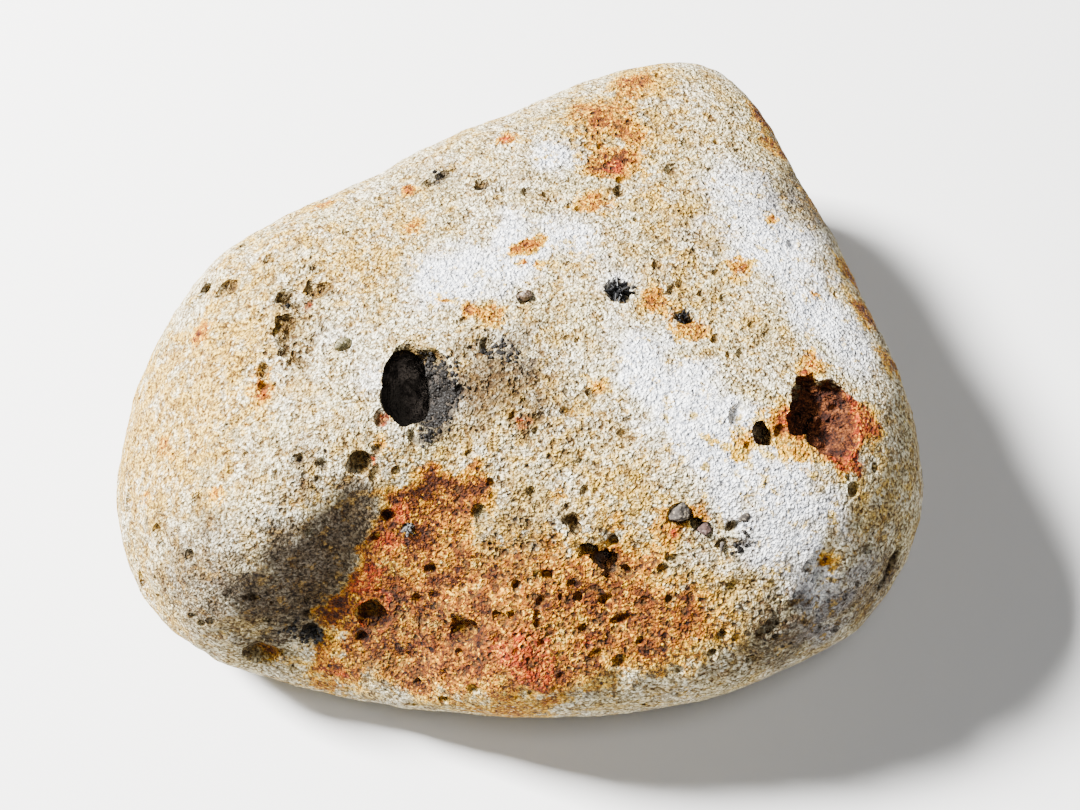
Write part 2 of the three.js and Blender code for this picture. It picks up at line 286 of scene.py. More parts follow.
# The larger bubbles and pits, each a lumpy hollow: a point near the surface or the piece that is
# lodged in it, half widths along and across, depth, turn in degrees, and how ragged its wall is
OPEN_BUBBLES = (
    ((-12, -9.7, 34.5), 2.6, 4.8, 7.5, 5, 0.05),  # large dark hole
    ((-11.3, -9.6, 34.5), 3.1, 4.8, 5.6, 2, 0.07),
    ((-10.6, -9.8, 34.5), 3.5, 4.6, 3.9, 0, 0.08),
    ((-10, -10.1, 34.5), 3.9, 4.5, 2.4, 0, 0.1),
    ((-8.7, -11, 34.4), 2.9, 4.1, 1.2, 8, 0.16),
    ((-9, -12.8, 34), 1.7, 1.9, 1.74, 0, 0.14),
    ((-14, -13.5, 34), 0.9, 1.1, 0.72, 0, 0.12),
    ((-11, -15.4, 33.3), 0.5, 0.8, 0.49, 20, 0.15),
    ((30.5, -12, 34), 3.2, 3.4, 3.9, -10, 0.16),  # large rusty hole
    ((31.2, -14.4, 33.6), 2.9, 3.2, 2.9, 25, 0.16),
    ((31.8, -13.6, 33.4), 2.5, 3.9, 1.6, 12, 0.18),
    ((28.6, -13.8, 34.2), 1.6, 1.6, 1.9, 0, 0.2),
    ((32, -16.2, 33), 1.3, 1.7, 1.9, 15, 0.16),
    ((30.2, -15, 33.8), 1.6, 2.2, 2.8, -20, 0.2),
    ((29.2, -10.6, 34.2), 1.8, 1.5, 2.6, 0, 0.24),
    ((32.6, -10.8, 33.6), 1.7, 1.6, 2.2, 0, 0.24),
    ((24.5, -15.4, 34.5), 1.25, 1.9, 2.9, 8, 0.1),  # its dark neighbour
    ((26.6, -15.2, 34.5), 0.7, 0.9, 0.61, 0, 0.2),
    ((22.1, -13.5, 34.8), 0.75, 1.3, 0.58, -28, 0.08),
    ((23.2, -16.9, 34.4), 0.5, 0.5, 0.49, 0, 0.15),
    ((5.6, -24, 30), 0.6, 0.9, 1.4, 20, 0.25),  # ragged front cavity
    ((7, -25.4, 29), 0.8, 1.3, 1.8, 30, 0.3),
    ((8.6, -27.2, 28.3), 1.5, 1.6, 2.6, 10, 0.26),
    ((10, -27.8, 28), 1.3, 1, 1.2, 0, 0.3),
    ((9.2, -25.2, 29.5), 0.7, 0.8, 0.7, 0, 0.25),
    ((-15.6, -28.4, 18.1), 2.1, 1.6, 1.9, -8, 0.14),  # pits of the scar
    ((-17, -30.2, 16), 0.9, 0.8, 0.67, 0, 0.15),
    ((-4, -21.5, 28.5), 0.85, 1.15, 0.69, 0, 0.1),
    ((-2.8, -19.2, 30.6), 0.6, 0.7, 0.55, 0, 0.1),
    ((17.5, -23.7, 31.3), 0.7, 0.9, 1.6, 10, 0.1),
    ((21.2, -24.2, 31.2), 0.9, 0.7, 0.68, 20, 0.12),
    ((14.6, -27.8, 28.4), 0.7, 0.8, 0.61, 0, 0.08),
    ((15.4, -26.6, 29), 0.8, 0.5, 0.49, 10, 0.12),
    ((15.1, -30.2, 26.7), 0.45, 0.5, 0.46, 0, 0.08),
    ((7.7, -34.6, 22.6), 0.9, 0.8, 0.67, 0, 0.15),
    ((-13.4, -21.2, 27.3), 1, 0.8, 0.67, 0, 0.15),
    ((-0.5, -28.3, 25.7), 0.55, 0.6, 0.52, 0, 0.12),
    ((-2.2, -31.2, 23.5), 1, 0.75, 0.64, -20, 0.1),
    ((-1, -30.9, 24.1), 0.45, 0.5, 0.46, 0, 0.1),
    ((-6.4, -31.5, 20.8), 1.7, 1.1, 0.84, 10, 0.15),
    ((-2.5, -32.6, 22.5), 0.7, 0.8, 0.61, 20, 0.15),
    ((-6.6, -33.3, 19.6), 0.5, 0.6, 0.49, 0, 0.1),
    ((1.8, -31.5, 24.5), 0.55, 0.9, 0.52, 0, 0.12),
    ((6.5, -32.4, 24.2), 0.5, 0.55, 0.49, 0, 0.1),
    ((8.6, -30.2, 26), 0.8, 0.6, 0.55, 20, 0.15),
    ((10.2, -31.8, 25), 1, 0.6, 0.55, 15, 0.15),
    ((6, -29.8, 26), 0.7, 0.6, 0.55, 0, 0.15),
    ((-7, -30.4, 21), 0.7, 0.5, 0.49, 0, 0.15),
    ((2.1, -33.7, 23), 0.5, 0.5, 0.49, 0, 0.15),
    ((12.2, -33.5, 23.8), 0.6, 0.6, 0.55, 0, 0.15),
    ((-9.3, -25.5, 23.2), 0.8, 0.7, 0.61, 0, 0.15),
    ((-11, -27.8, 20.6), 0.6, 0.7, 0.55, 0, 0.15),
    ((2.6, -27.7, 27), 0.5, 0.5, 0.49, 0, 0.15),
    ((-27.5, -30.7, 13.6), 2.1, 2.2, 1.6, 0, 0.12),  # pits of the left lobe
    ((-27.2, -27.4, 22), 1, 0.7, 0.61, -15, 0.1),
    ((-22.3, -29.4, 16.2), 1.2, 0.9, 0.72, -35, 0.2),
    ((-38.1, -20.2, 21.7), 0.75, 0.95, 0.64, 0, 0.1),
    ((-31.5, -26.5, 19), 0.5, 0.45, 0.46, 0, 0.15),
    ((-16, -17.6, 32), 1.45, 1.35, 1.45, 0, 0.12),  # row above the scar
    ((-12.6, -18, 31.2), 0.6, 0.6, 0.55, 0, 0.1),
    ((-14.6, -16.4, 33), 0.6, 0.5, 0.49, 0, 0.1),
    ((-20, -17.8, 32.5), 1.1, 0.65, 0.58, 8, 0.15),
    ((-22.3, -17.2, 32.2), 1.2, 0.7, 0.61, 28, 0.15),
    ((-24.4, -18.4, 31.3), 0.9, 0.6, 0.55, 30, 0.15),
    ((-25.1, -1.9, 33), 0.95, 1.8, 0.8, 8, 0.3),  # ragged pits of the left top
    ((-24.7, -4.2, 33.1), 1, 1.7, 0.8, -14, 0.3),
    ((-23.5, -5.7, 33.3), 1.3, 1.1, 0.8, 20, 0.3),
    ((-22.4, -6.6, 33.5), 0.9, 0.7, 0.75, 0, 0.2),
    ((-22.6, -4.6, 33.4), 1.8, 1.4, 0.45, 30, 0.3),
    ((-27.1, -6.5, 32.3), 0.65, 1.2, 0.75, 0, 0.2),
    ((-26.9, -8.7, 32.2), 0.7, 1.1, 0.65, -8, 0.2),
    ((-25.3, 2.4, 32.8), 1.5, 1.1, 0.8, -20, 0.3),
    ((-24.2, 1.2, 33), 1.1, 0.7, 0.7, 10, 0.25),
    ((-22.4, 2.9, 33.2), 1.5, 1.3, 0.65, 0, 0.3),
    ((-20.8, 2.2, 33.4), 0.9, 0.7, 0.55, 0, 0.25),
    ((-32, 4.9, 30.4), 1.6, 0.9, 0.55, 25, 0.25),
    ((-35.4, 5.3, 28.1), 1.8, 0.9, 0.6, 38, 0.25),
    ((-27.5, 8.2, 31.6), 1.4, 0.9, 0.6, 10, 0.25),
    ((-22.2, 5.9, 33), 1, 0.6, 0.55, 0, 0.2),
    ((-10.2, 18.4, 32), 1, 0.8, 0.67, 20, 0.15),  # pits of the back
    ((-8.4, 19.6, 32), 1.3, 0.8, 0.67, 20, 0.18),
    ((-4.4, 17.3, 32.7), 1, 1.25, 1.1, -35, 0.08),
    ((-1.8, 16.3, 33), 0.6, 0.6, 0.55, 0, 0.08),
    ((0.6, 15.9, 33), 0.75, 0.7, 0.61, 0, 0.08),
    ((2.7, 15.3, 33), 0.45, 0.45, 0.46, 0, 0.08),
    ((6.4, 13.5, 33.5), 0.5, 0.5, 0.49, 0, 0.08),
    ((11.1, 16.1, 33.3), 0.8, 0.85, 0.67, 0, 0.06),
    ((12.7, 11.9, 33.6), 0.45, 0.5, 0.46, 0, 0.08),
    ((17.1, 19.9, 32.9), 0.9, 0.95, 0.72, 0, 0.1),
    ((15, 21.5, 32.7), 0.4, 0.4, 0.44, 0, 0.1),
    ((14.8, 5.2, 34.2), 0.75, 0.8, 0.64, 0, 0.08),
    ((17.2, 2.8, 34.3), 0.7, 0.75, 0.61, 0, 0.08),
    ((16.1, 2.2, 34.3), 0.5, 0.6, 0.49, 0, 0.12),
    ((19.4, 1.7, 34.3), 0.7, 0.5, 0.49, 0, 0.15),
    ((24.2, -2.3, 34.2), 0.55, 0.45, 0.46, 0, 0.1),
    ((21.6, -6.2, 34.6), 0.45, 0.45, 0.46, 0, 0.08),
    ((22.9, -6.1, 34.6), 0.65, 0.75, 0.58, 0, 0.1),
    ((-3.3, -5.3, 34.6), 0.85, 1.1, 0.69, 15, 0.12),
    ((1.6, -14.9, 34), 0.45, 0.45, 0.46, 0, 0.1),
    ((6.6, -20.9, 32), 0.6, 0.75, 0.55, 0, 0.08),
    ((1.3, -20.6, 31), 0.6, 0.8, 0.55, 15, 0.12),
    ((4.8, -12.8, 34.4), 0.75, 0.5, 0.49, -10, 0.1),
    ((10.5, -15.1, 34.3), 0.8, 0.45, 0.46, 10, 0.15),
    ((-29.8, -17, 29.4), 0.5, 0.5, 0.49, 0, 0.1),
    ((36.5, -17.5, 31), 0.5, 0.7, 0.49, 0, 0.1),
    ((33.2, -28.3, 23.4), 0.5, 0.5, 0.49, 0, 0.1),
    ((20.4, -33.2, 24.2), 0.9, 0.8, 0.67, 0, 0.15),
    ((19.6, -34.6, 22.8), 0.7, 0.7, 0.61, 0, 0.15),
    ((25.4, -31.8, 24.6), 0.8, 0.8, 0.67, 0, 0.15),
    ((38.9, -24.1, 20.7), 0.95, 3.1, 1.5, -33, 0.1),  # slit in the right side
    ("lithic_grain_large", 1.4, 1.2, 1.1, 20, 0.06),  # seats of the lodged grains and crystals
    ("lithic_grain_mid", 0.9, 0.8, 0.8, 0, 0.06),
    ("lithic_grain_small", 0.8, 0.7, 0.7, 40, 0.06),
    ("sand_grain_round", 0.92, 0.82, 0.7, 0, 0.04),
    ("sand_grain_oval", 1.12, 0.9, 0.9, 25, 0.04),
    ("dark_crystal_centre", 1.7, 2, 1.3, 30, 0.16),
    ("dark_crystal_right", 1.2, 0.9, 0.8, 15, 0.12),
    ("pale_crystal_scar", 0.8, 0.7, 0.7, 40, 0.08),
    ((-10.5, -36.5, 7), 0.8, 1, 0.67, 0, 0.12),  # notch in the front rim
)


def skin_frame(at, turn):
    """A frame on the skin at a point in mm or at a named piece: Z out, X near the world's X."""
    if isinstance(at, str):
        at = sum(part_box(at), Vector()) / (2 * MM)
    foot = on_skin(np.array([at], float) - CORE)
    out = Vector(skin_normals(foot)[0])
    along = (Vector((1, 0, 0)) - out * out.x).normalized()
    across = out.cross(along)
    frame_on_skin = Matrix((along, across, out)).transposed().to_4x4()
    frame_on_skin.translation = Vector(foot[0]) + out * unevenness(foot)[0]
    return frame_on_skin @ Matrix.Rotation(math.radians(turn), 4, "Z")


def place(points, frame_mm):
    """Points in mm, carried from a frame on the skin into the stone."""
    turned = np.array(frame_mm.to_3x3())
    return points @ turned.T + np.array(frame_mm.translation)


# A deep bubble is widest some way below its mouth, and a worn pit is a shallow bowl. Each kind has
# a radius in depths and a spread in half widths.
DEEP_BUBBLE, WORN_PIT = (0.6, 1.05), (2.2, 1.2)
DEEP_FROM = 1.2  # depth in half widths
LUMP_HEIGHT = 1.7
LEAST_LUMP, LUMP_GROWTH = 0.9, 0.35  # the size of the lumps of a wall, and how it grows with the hollow
LARGE_DEPTH, LARGE_WIDTH = 2.6, 1.2  # from these on, a hollow's ball is one step finer
hollows = bpy.data.collections.new("hollows of the open bubbles")
for number, (at, half_along, half_across, depth, turn, ragged) in enumerate(OPEN_BUBBLES):
    wide = max(half_along, half_across)
    mesh = ball(f"hollow_{number}", 5 if depth > LARGE_DEPTH else 4 if wide > LARGE_WIDTH else 3)
    tall, spread = DEEP_BUBBLE if depth > DEEP_FROM * wide else WORN_PIT
    radius = tall * depth
    shape = vertices_mm(mesh) * (half_along * spread, half_across * spread, radius)
    lump_size = LEAST_LUMP + LUMP_GROWTH * wide
    lumps = LUMP_HEIGHT * ragged * waves(shape, size=lump_size, octaves=2, shift=number * 7)
    shape = shape * (1 + lumps)[:, None] + (0, 0, radius - depth)
    set_vertices_mm(mesh, place(shape, skin_frame(at, turn)))
    hollows.objects.link(bpy.data.objects.new(mesh.name, mesh))
bpy.context.scene.collection.children.link(hollows)
cut = pumice.modifiers.new("open bubbles", "BOOLEAN")
cut.operation = "DIFFERENCE"
cut.solver = "MANIFOLD"
cut.operand_type = "COLLECTION"
cut.collection = hollows
settled(pumice)
for hollow in list(hollows.objects):
    bpy.data.meshes.remove(hollow.data)
bpy.data.collections.remove(hollows)


def colour(code):
    """An sRGB hex colour as linear red, green, blue and alpha."""
    parts = [int(code[i : i + 2], 16) / 255 for i in (1, 3, 5)]
    return [p / 12.92 if p <= 0.04045 else ((p + 0.055) / 1.055) ** 2.4 for p in parts] + [1]


def add_node(tree, kind, feeds=None, **settings):
    """Adds a node. feeds maps an input to a value, a hex colour, an output or a node."""
    node = tree.nodes.new(kind)
    for name, value in settings.items():
        setattr(node, name, value)
    for key, value in (feeds or {}).items():
        if isinstance(value, bpy.types.Node):
            value = next(output for output in value.outputs if output.enabled)
        if isinstance(value, bpy.types.NodeSocket):
            tree.links.new(value, node.inputs[key])
        elif isinstance(value, str) and value.startswith("#"):
            node.inputs[key].default_value = colour(value)
        else:
            node.inputs[key].default_value = value
    return node


def begin_tree(name, **inputs):
    """A Geometry Nodes tree with a mesh in and out and named inputs of each kind, and its inputs."""
    tree = bpy.data.node_groups.new(name, "GeometryNodeTree")
    tree.interface.new_socket("Geometry", in_out="OUTPUT", socket_type="NodeSocketGeometry")
    for kind, labels in {"Geometry": ["Geometry"], **inputs}.items():
        for label in labels:
            tree.interface.new_socket(label, in_out="INPUT", socket_type="NodeSocket" + kind)
    return tree, tree.nodes.new("NodeGroupInput").outputs


def end_tree(tree, shape, material):
    """Makes a tree's instances real, sets their material and gives the result out."""
    realized = add_node(tree, "GeometryNodeRealizeInstances", {"Geometry": shape})
    finished = add_node(tree, "GeometryNodeSetMaterial", {"Geometry": realized, "Material": material})
    add_node(tree, "NodeGroupOutput", {"Geometry": finished})


def apply_tree(thing, tree, values):
    """Runs a Geometry Nodes tree on an object with these values for its named inputs."""
    modifier = thing.modifiers.new(tree.name, "NODES")
    modifier.node_group = tree
    for item in tree.interface.items_tree:
        if item.item_type == "SOCKET" and item.in_out == "INPUT" and item.name in values:
            modifier[item.identifier] = values[item.name]
    return settled(thing)


# Small bubbles: points scattered over the skin in patches, a squashed ball sunk at each, and all
# of the balls cut away together. Most are small and a few are large, and they crowd where the
# froth is open.
FULL_TURN = 2 * math.pi
SMALL_BIAS = 2.6  # the higher, the fewer large bubbles
BUBBLE_RISE = 0.14  # how far a bubble's middle lies above the skin, in times its radius
tree, given = begin_tree(
    "small bubbles",
    Float=["Bubbles per square metre", "Patch size", "Least radius", "Greatest radius"],
    Int=["Ball detail", "Seed"],
    Material=["Stone"],
)
patch_scale = add_node(tree, "ShaderNodeMath", {0: 1.0, 1: given["Patch size"]}, operation="DIVIDE")
patches = add_node(tree, "ShaderNodeTexNoise", {"Scale": patch_scale, "Detail": 2.0})
crowding = add_node(
    tree,
    "ShaderNodeMapRange",
    {"Value": patches, "From Min": 0.38, "From Max": 0.66, "To Min": 0.15, "To Max": 2.2},
)
openness_node = add_node(tree, "GeometryNodeInputNamedAttribute", {"Name": "openness"})
open_crowding = add_node(
    tree, "ShaderNodeMath", {0: crowding, 1: openness_node.outputs["Attribute"]}, operation="MULTIPLY"
)
crowd = add_node(
    tree,
    "ShaderNodeMath",
    {0: open_crowding, 1: given["Bubbles per square metre"]},
    operation="MULTIPLY",
)
points = add_node(
    tree,
    "GeometryNodeDistributePointsOnFaces",
    {"Mesh": given["Geometry"], "Density": crowd, "Seed": given["Seed"]},
    distribute_method="RANDOM",
)
chance = add_node(tree, "FunctionNodeRandomValue", {"Seed": given["Seed"]}, data_type="FLOAT")
skewed = add_node(tree, "ShaderNodeMath", {0: chance, 1: SMALL_BIAS}, operation="POWER")
size = add_node(
    tree,
    "ShaderNodeMapRange",
    {"Value": skewed, "To Min": given["Least radius"], "To Max": given["Greatest radius"]},
)
squash = add_node(
    tree,
    "FunctionNodeRandomValue",
    {0: (0.85, 0.75, 0.6), 1: (1.45, 1.1, 1.1), "Seed": 9},
    data_type="FLOAT_VECTOR",
)
extent = add_node(tree, "ShaderNodeVectorMath", {0: squash, "Scale": size}, operation="SCALE")
spin = add_node(
    tree,
    "FunctionNodeRandomValue",
    {0: (-0.4, -0.4, 0.0), 1: (0.4, 0.4, FULL_TURN), "Seed": 2},
    data_type="FLOAT_VECTOR",
)
turned = add_node(
    tree, "FunctionNodeRotateRotation", {0: points.outputs["Rotation"], 1: spin}, rotation_space="LOCAL"
)
lift = add_node(tree, "ShaderNodeMath", {0: size, 1: BUBBLE_RISE}, operation="MULTIPLY")
rise = add_node(
    tree, "ShaderNodeVectorMath", {0: points.outputs["Normal"], "Scale": lift}, operation="SCALE"
)
raised = add_node(
    tree, "GeometryNodeSetPosition", {"Geometry": points.outputs["Points"], "Offset": rise}
)
bubble = add_node(
    tree, "GeometryNodeMeshIcoSphere", {"Radius": 1.0, "Subdivisions": given["Ball detail"]}
)
bubbles = add_node(
    tree,
    "GeometryNodeInstanceOnPoints",
    {"Points": raised, "Instance": bubble.outputs["Mesh"], "Rotation": turned, "Scale": extent},
)
opened = add_node(
    tree,
    "GeometryNodeMeshBoolean",
    {0: given["Geometry"], 1: bubbles.outputs["Instances"]},
    operation="DIFFERENCE",
    solver="MANIFOLD",
)
end_tree(tree, opened, given["Stone"])

pumice_glass = bpy.data.materials.new("worn pumice glass froth")
pumice.data.materials.append(pumice_glass)
for per_square_metre, patch_mm, least, greatest, detail, seed in (
    (46000.0, 9, 0.42, 0.95, 2, 4),
    (100000.0, 5, 0.26, 0.44, 1, 8),
):
    keep_numbers(pumice.data, "openness", openness(vertices_mm(pumice.data)))
    apply_tree(
        pumice,
        tree,
        {
            "Bubbles per square metre": per_square_metre,
            "Patch size": patch_mm * MM,
            "Least radius": least * MM,
            "Greatest radius": greatest * MM,
            "Ball detail": detail,
            "Seed": seed,
            "Stone": pumice_glass,
        },
    )

# Wear rounds every rim, and leaves the skin finely uneven and the deeper bubble walls crumbly
SKIN_CRUMBLE, WALL_CRUMBLE = 0.055, 0.2
WALL_FROM, WALL_RUN = 0.9, 1.5  # the depth at which the walls turn crumbly, and over how much more
rounding = pumice.modifiers.new("worn rims", "SMOOTH")
rounding.factor = 0.4
rounding.iterations = 2
settled(pumice)
skin = vertices_mm(pumice.data)
height = height_over_skin(skin)
depth = np.maximum(unevenness(skin - skin_normals(skin) * height[:, None]) - height, 0)
deep_share = np.clip((depth - WALL_FROM) / WALL_RUN, 0, 1)
crumble = (SKIN_CRUMBLE + WALL_CRUMBLE * deep_share) * waves(skin, size=0.9, octaves=2, shift=31)
facing = np.empty(len(skin) * 3, np.float32)
pumice.data.vertices.foreach_get("normal", facing)
skin = skin + facing.reshape(-1, 3) * crumble[:, None]
skin[:, 2] = np.maximum(skin[:, 2], 0)
set_vertices_mm(pumice.data, skin)

# Stains of iron, from cream where it is thin to rust and red where it is thick, and of bleached
# chalk, soot and grime. The grime is partly painted shade on the scar's shaded wall, the shaded
# flanks and the underside, and the soot is partly painted shade deep in the large hole. Each is a
# place in or on the stone, its reach in mm and its strength.
RUST = (
    ((-8.2, -20.1, 28.7), 4.3, 1.25), ((-11.6, -20.3, 28.4), 2.2, 0.9), ((-5.4, -19.7, 29.7), 3, 0.9),
    ((-11, -22, 26.6), 4, 1.1), ((-13.2, -22.6, 25.6), 2.2, 1.4), ((-15, -24.6, 23), 2.2, 1.5),
    ((-16.4, -26.4, 20.8), 2.2, 1.5), ((-18.4, -28.2, 18.2), 2.6, 1.5), ((-16.4, -28.6, 18), 3, 1.1),
    ((-13.2, -26.5, 21.5), 4, 1), ((-15, -31, 16), 5, 0.85), ((-20.4, -30.1, 15), 3.2, 0.45),
    ((-10.6, -33, 16.4), 5, 0.85), ((-7.2, -32, 19.9), 5, 0.8), ((-9.4, -28, 21), 5, 0.7),
    ((-4, -29, 23.6), 6, 0.5), ((0, -27, 26.5), 6, 0.35), ((-7, -24.5, 25), 4, 0.6),
    ((5.5, -28, 27), 5, 0.5), ((4, -31.6, 24.6), 6, 0.6), ((8.2, -30.1, 26.1), 5, 0.5),
    ((12, -30.2, 26.4), 5.5, 0.55), ((12.5, -26.8, 28.8), 3.6, 0.5), ((0.6, -34.4, 22), 4.4, 0.95),
    ((-4, -34, 20.9), 5, 0.85), ((4, -35.7, 21.3), 4.5, 0.85), ((10.2, -34.2, 23), 5, 0.5),
    ((15.2, -34, 23.5), 4, 0.6), ((14.2, -31.9, 25.3), 4, 0.6), ((18.4, -31, 26.5), 3, 0.5),
    ((20, -33, 24.5), 3, 0.4), ((9.5, -23.5, 30.5), 2.2, 0.4), ((-21, -33, 10), 4, 0.5),
    ((-1, -38, 14), 6, 0.5), ((4, -20.5, 31.5), 1.6, 0.35), ((13, 34, 30.6), 3.6, 0.8),
    ((9, 28, 31.8), 4.2, 0.75), ((10.5, 21, 33), 3.4, 1.1), ((8, 14.5, 33.5), 3, 0.6),
    ((13, 25, 32.5), 3.5, 0.6), ((15, 16, 33), 2.5, 0.3), ((-12.9, 17.6, 32), 1.3, 0.9),
    ((-11.6, 11.6, 33), 1.5, 0.7), ((-0.6, 7.4, 34.1), 1.1, 0.8), ((0.8, 8.2, 34), 1.3, 0.9),
    ((2.1, 9.1, 34), 1, 0.8), ((0.4, 5.6, 34.2), 0.8, 0.8), ((2.2, 5.4, 34.2), 0.7, 0.8),
    ((-3.2, -1.6, 34.5), 1.7, 0.8), ((-5.4, -0.8, 34.5), 1.3, 0.6), ((-8, 0.2, 34.4), 1.1, 0.5),
    ((14.5, 0.5, 34.5), 2.4, 0.6), ((18, -2.5, 34.5), 2.6, 0.55), ((23.7, 5, 34), 2, 0.6),
    ((31.5, 2.5, 33), 1.1, 0.5), ((28, 13, 32.4), 1, 0.6), ((5, -13, 34.5), 1.8, 0.3),
    ((8, -10, 34.6), 1.5, 0.4), ((28.5, 30.9, 28), 3, 0.9), ((30, 26, 29), 2.6, 0.8),
    ((33, 18, 28), 2.6, 0.6), ((37, 8, 28), 3, 0.7), ((37.5, 2, 29.5), 3, 0.75),
    ((39, -4, 29), 2.5, 0.6), ((26.5, -15, 34.4), 3, 0.5), ((29, -18, 33.6), 2.4, 0.35),
    ((31, -13.2, 33.6), 4.6, 0.8), ((34.2, -14, 32.6), 2.6, 1), ((33, -18.5, 33), 2.2, 0.45),
    ((35.5, -13, 32.6), 2.6, 0.75), ((22.5, -16.8, 34.5), 2.2, 0.6), ((30, -7, 34), 2.6, 0.5),
    ((-27, -9, 32), 2, 0.85), ((-27, -7, 32.4), 1.5, 0.6), ((-35, 0, 28.7), 1.8, 0.8),
    ((-38.4, -11.3, 24.4), 1.6, 0.6), ((-40, -16.4, 21.2), 1.6, 0.5), ((-31, -19, 27.6), 1.4, 0.6),
    ((-37, -13, 25), 1.4, 0.5), ((-33.5, -22, 21.5), 1.3, 0.7), ((-30, -22.5, 23), 1.2, 0.6),
    ((-29, -13, 31), 1.2, 0.5), ((-33, -27, 15), 2.2, 0.6), ((-36, -26, 12), 2.2, 0.5),
    ((15, -24.5, 31), 2.2, 0.7), ((18, -23, 31.6), 1.8, 0.5), ((31.4, -26.4, 27.7), 1.5, 0.6),
    ((-23, 17, 29.8), 1.6, 0.6), ((-1.6, 25, 31.5), 1.3, 0.8), ((-20, -32, 12), 2, 0.9),
    ((-27.3, -30.4, 12.6), 1.8, 0.7), ((-26, 8, 31), 1.5, 0.4), ((-14, -16, 33.2), 1.5, 0.4),
    ((19, -16, 34.4), 1.3, 0.4), ((-20, 30, 14), 6, 0.8), ((30, 30, 12), 6, 0.9),
    ((42, -8, 14), 6, 0.7), ((-42, -2, 12), 6, 0.6), ((10, 40, 8), 5, 0.7), ((-15, 5, 0), 9, 0.8),
    ((14, -12, 0), 7, 0.7), ((38, 8, 8), 5, 0.6), ((0, 26, 3), 6, 0.5),
)
RED = (
    ((31, -12.6, 30.6), 5.2, 1.4), ((33.4, -14.8, 32.2), 2.2, 1.2), ((32.2, -15.6, 30.8), 3.4, 1.2),
    ((33.2, -12, 31.2), 2.6, 1.2), ((24.5, -15.5, 31.5), 2.2, 0.7), ((0.4, -34.2, 22.2), 3.6, 1),
    ((2.4, -36, 20.5), 2.2, 0.8), ((-15.4, -25.2, 22.2), 1.8, 0.9), ((10.6, 20.2, 32.9), 1.5, 1.1),
    ((-12.2, -21, 27.6), 1.7, 0.9), ((-13.6, -23.2, 24.8), 1.7, 0.9), ((-15.9, -28.2, 18.4), 2.2, 1),
    ((-16.8, -26.6, 20.6), 2, 0.7), ((-15.2, -17.4, 32.2), 1.2, 0.9), ((-14, -13.6, 33.6), 1.4, 0.6),
    ((-12.9, 17.8, 32), 0.7, 1), ((-1.6, 25, 31.5), 0.8, 1), ((15.6, -24.8, 30.9), 1, 0.9),
    ((16.6, -25.6, 30.5), 0.8, 0.9), ((-22.8, 1, 33), 1.1, 0.8), ((0.1, -13.8, 34.2), 1.3, 0.5),
    ((-27, -9.6, 31.6), 1, 0.7), ((8.5, 27, 31.8), 1.2, 0.6), ((-17, 3, 33.8), 0.7, 0.6),
    ((7, -33.5, 23.2), 1.2, 0.6), ((-20, -32.4, 11.6), 1.6, 0.7),
)
CREAM = (
    ((-43, -8, 20), 7, 0.9), ((15, 35, 30), 5, 1), ((-2, -23.5, 28.5), 5, 0.7), ((8, -23, 31), 4, 0.6),
    ((-5, 32, 26), 7, 0.6), ((-25, 20, 26), 7, 0.6), ((-34, -8, 28), 10, 0.9), ((-37, -14, 24), 9, 0.9),
    ((-31, -2, 31), 8, 0.7), ((-17, 5, 33.7), 6, 0.8), ((-27, 10, 30.5), 8, 0.7),
    ((-38, -24, 13), 8, 0.8), ((-14, 12, 33), 6, 0.5), ((19, -31, 26), 7, 0.7),
    ((12, -21, 32.4), 6, 0.75), ((17, 13, 33.3), 6, 0.5), ((17, 4, 34.2), 5.5, 0.6),
    ((21, -1, 34.4), 5, 0.5), ((14, 36, 29.5), 4, 1), ((-44, -6, 18), 8, 1), ((-40, -2, 24), 6, 0.8),
    ((2, -14, 34.3), 7, 0.65), ((-4, -10, 34.6), 6, 0.55), ((27, -17, 34), 5.5, 0.7),
    ((9, 28, 32), 9, 0.7), ((18, 26, 32), 7, 0.45), ((-20, -20, 31), 5, 0.45),
    ((-7, -17.5, 31.5), 4, 0.5), ((36, -20, 29), 6, 0.5), ((30, -29, 22), 5, 0.4),
    ((-12, -18.5, 30), 2.4, 0.7), ((36, 5, 30), 5, 0.5), ((6, 5, 34.3), 5, 0.5),
    ((-20, 30, 14), 14, 0.6), ((34, 20, 12), 14, 0.5), ((0, -38, 8), 12, 0.6), ((-42, -10, 8), 14, 0.6),
    ((0, 0, 0), 24, 0.5), ((25, 5, 0), 12, 0.5),
)
CHALK = (
    ((-8, 3.5, 34), 5.5, 0.9), ((-1, 6.5, 34), 5.5, 0.9), ((5.5, 9.5, 33.8), 4.5, 0.7),
    ((12.5, -6.5, 34.8), 5, 0.8), ((17, -12.5, 34.7), 6, 1), ((21, -17.5, 34), 6, 1),
    ((26.5, -21.5, 32.6), 5.5, 0.9), ((31, -22, 31), 4, 0.5), ((28, 9, 33), 8, 0.8),
    ((24, 17, 32.6), 7, 0.6), ((32.5, 0, 33), 6, 0.8), ((35, -5, 32.6), 5, 0.6),
    ((3.5, 21.5, 32.6), 4, 0.8), ((-1, 12, 33.5), 3.5, 0.5), ((-15, -9, 34), 4.5, 0.5),
    ((-30, -22, 23), 6, 0.4), ((10.5, 3, 34.4), 3.5, 0.6), ((-20, -3, 33.8), 4, 0.4),
    ((24, -26, 30), 4, 0.5), ((35, 24, 16), 9, 0.5), ((-10, 30, 18), 8, 0.5), ((-8, -14, 0), 10, 0.6),
    ((30, -25, 8), 8, 0.5), ((28.6, -27, 28.4), 4, 0.6), ((30, -29, 24.5), 4.5, 0.7),
    ((31.4, -30, 19), 4.5, 0.6), ((35, -26, 24), 4.5, 0.5),
)
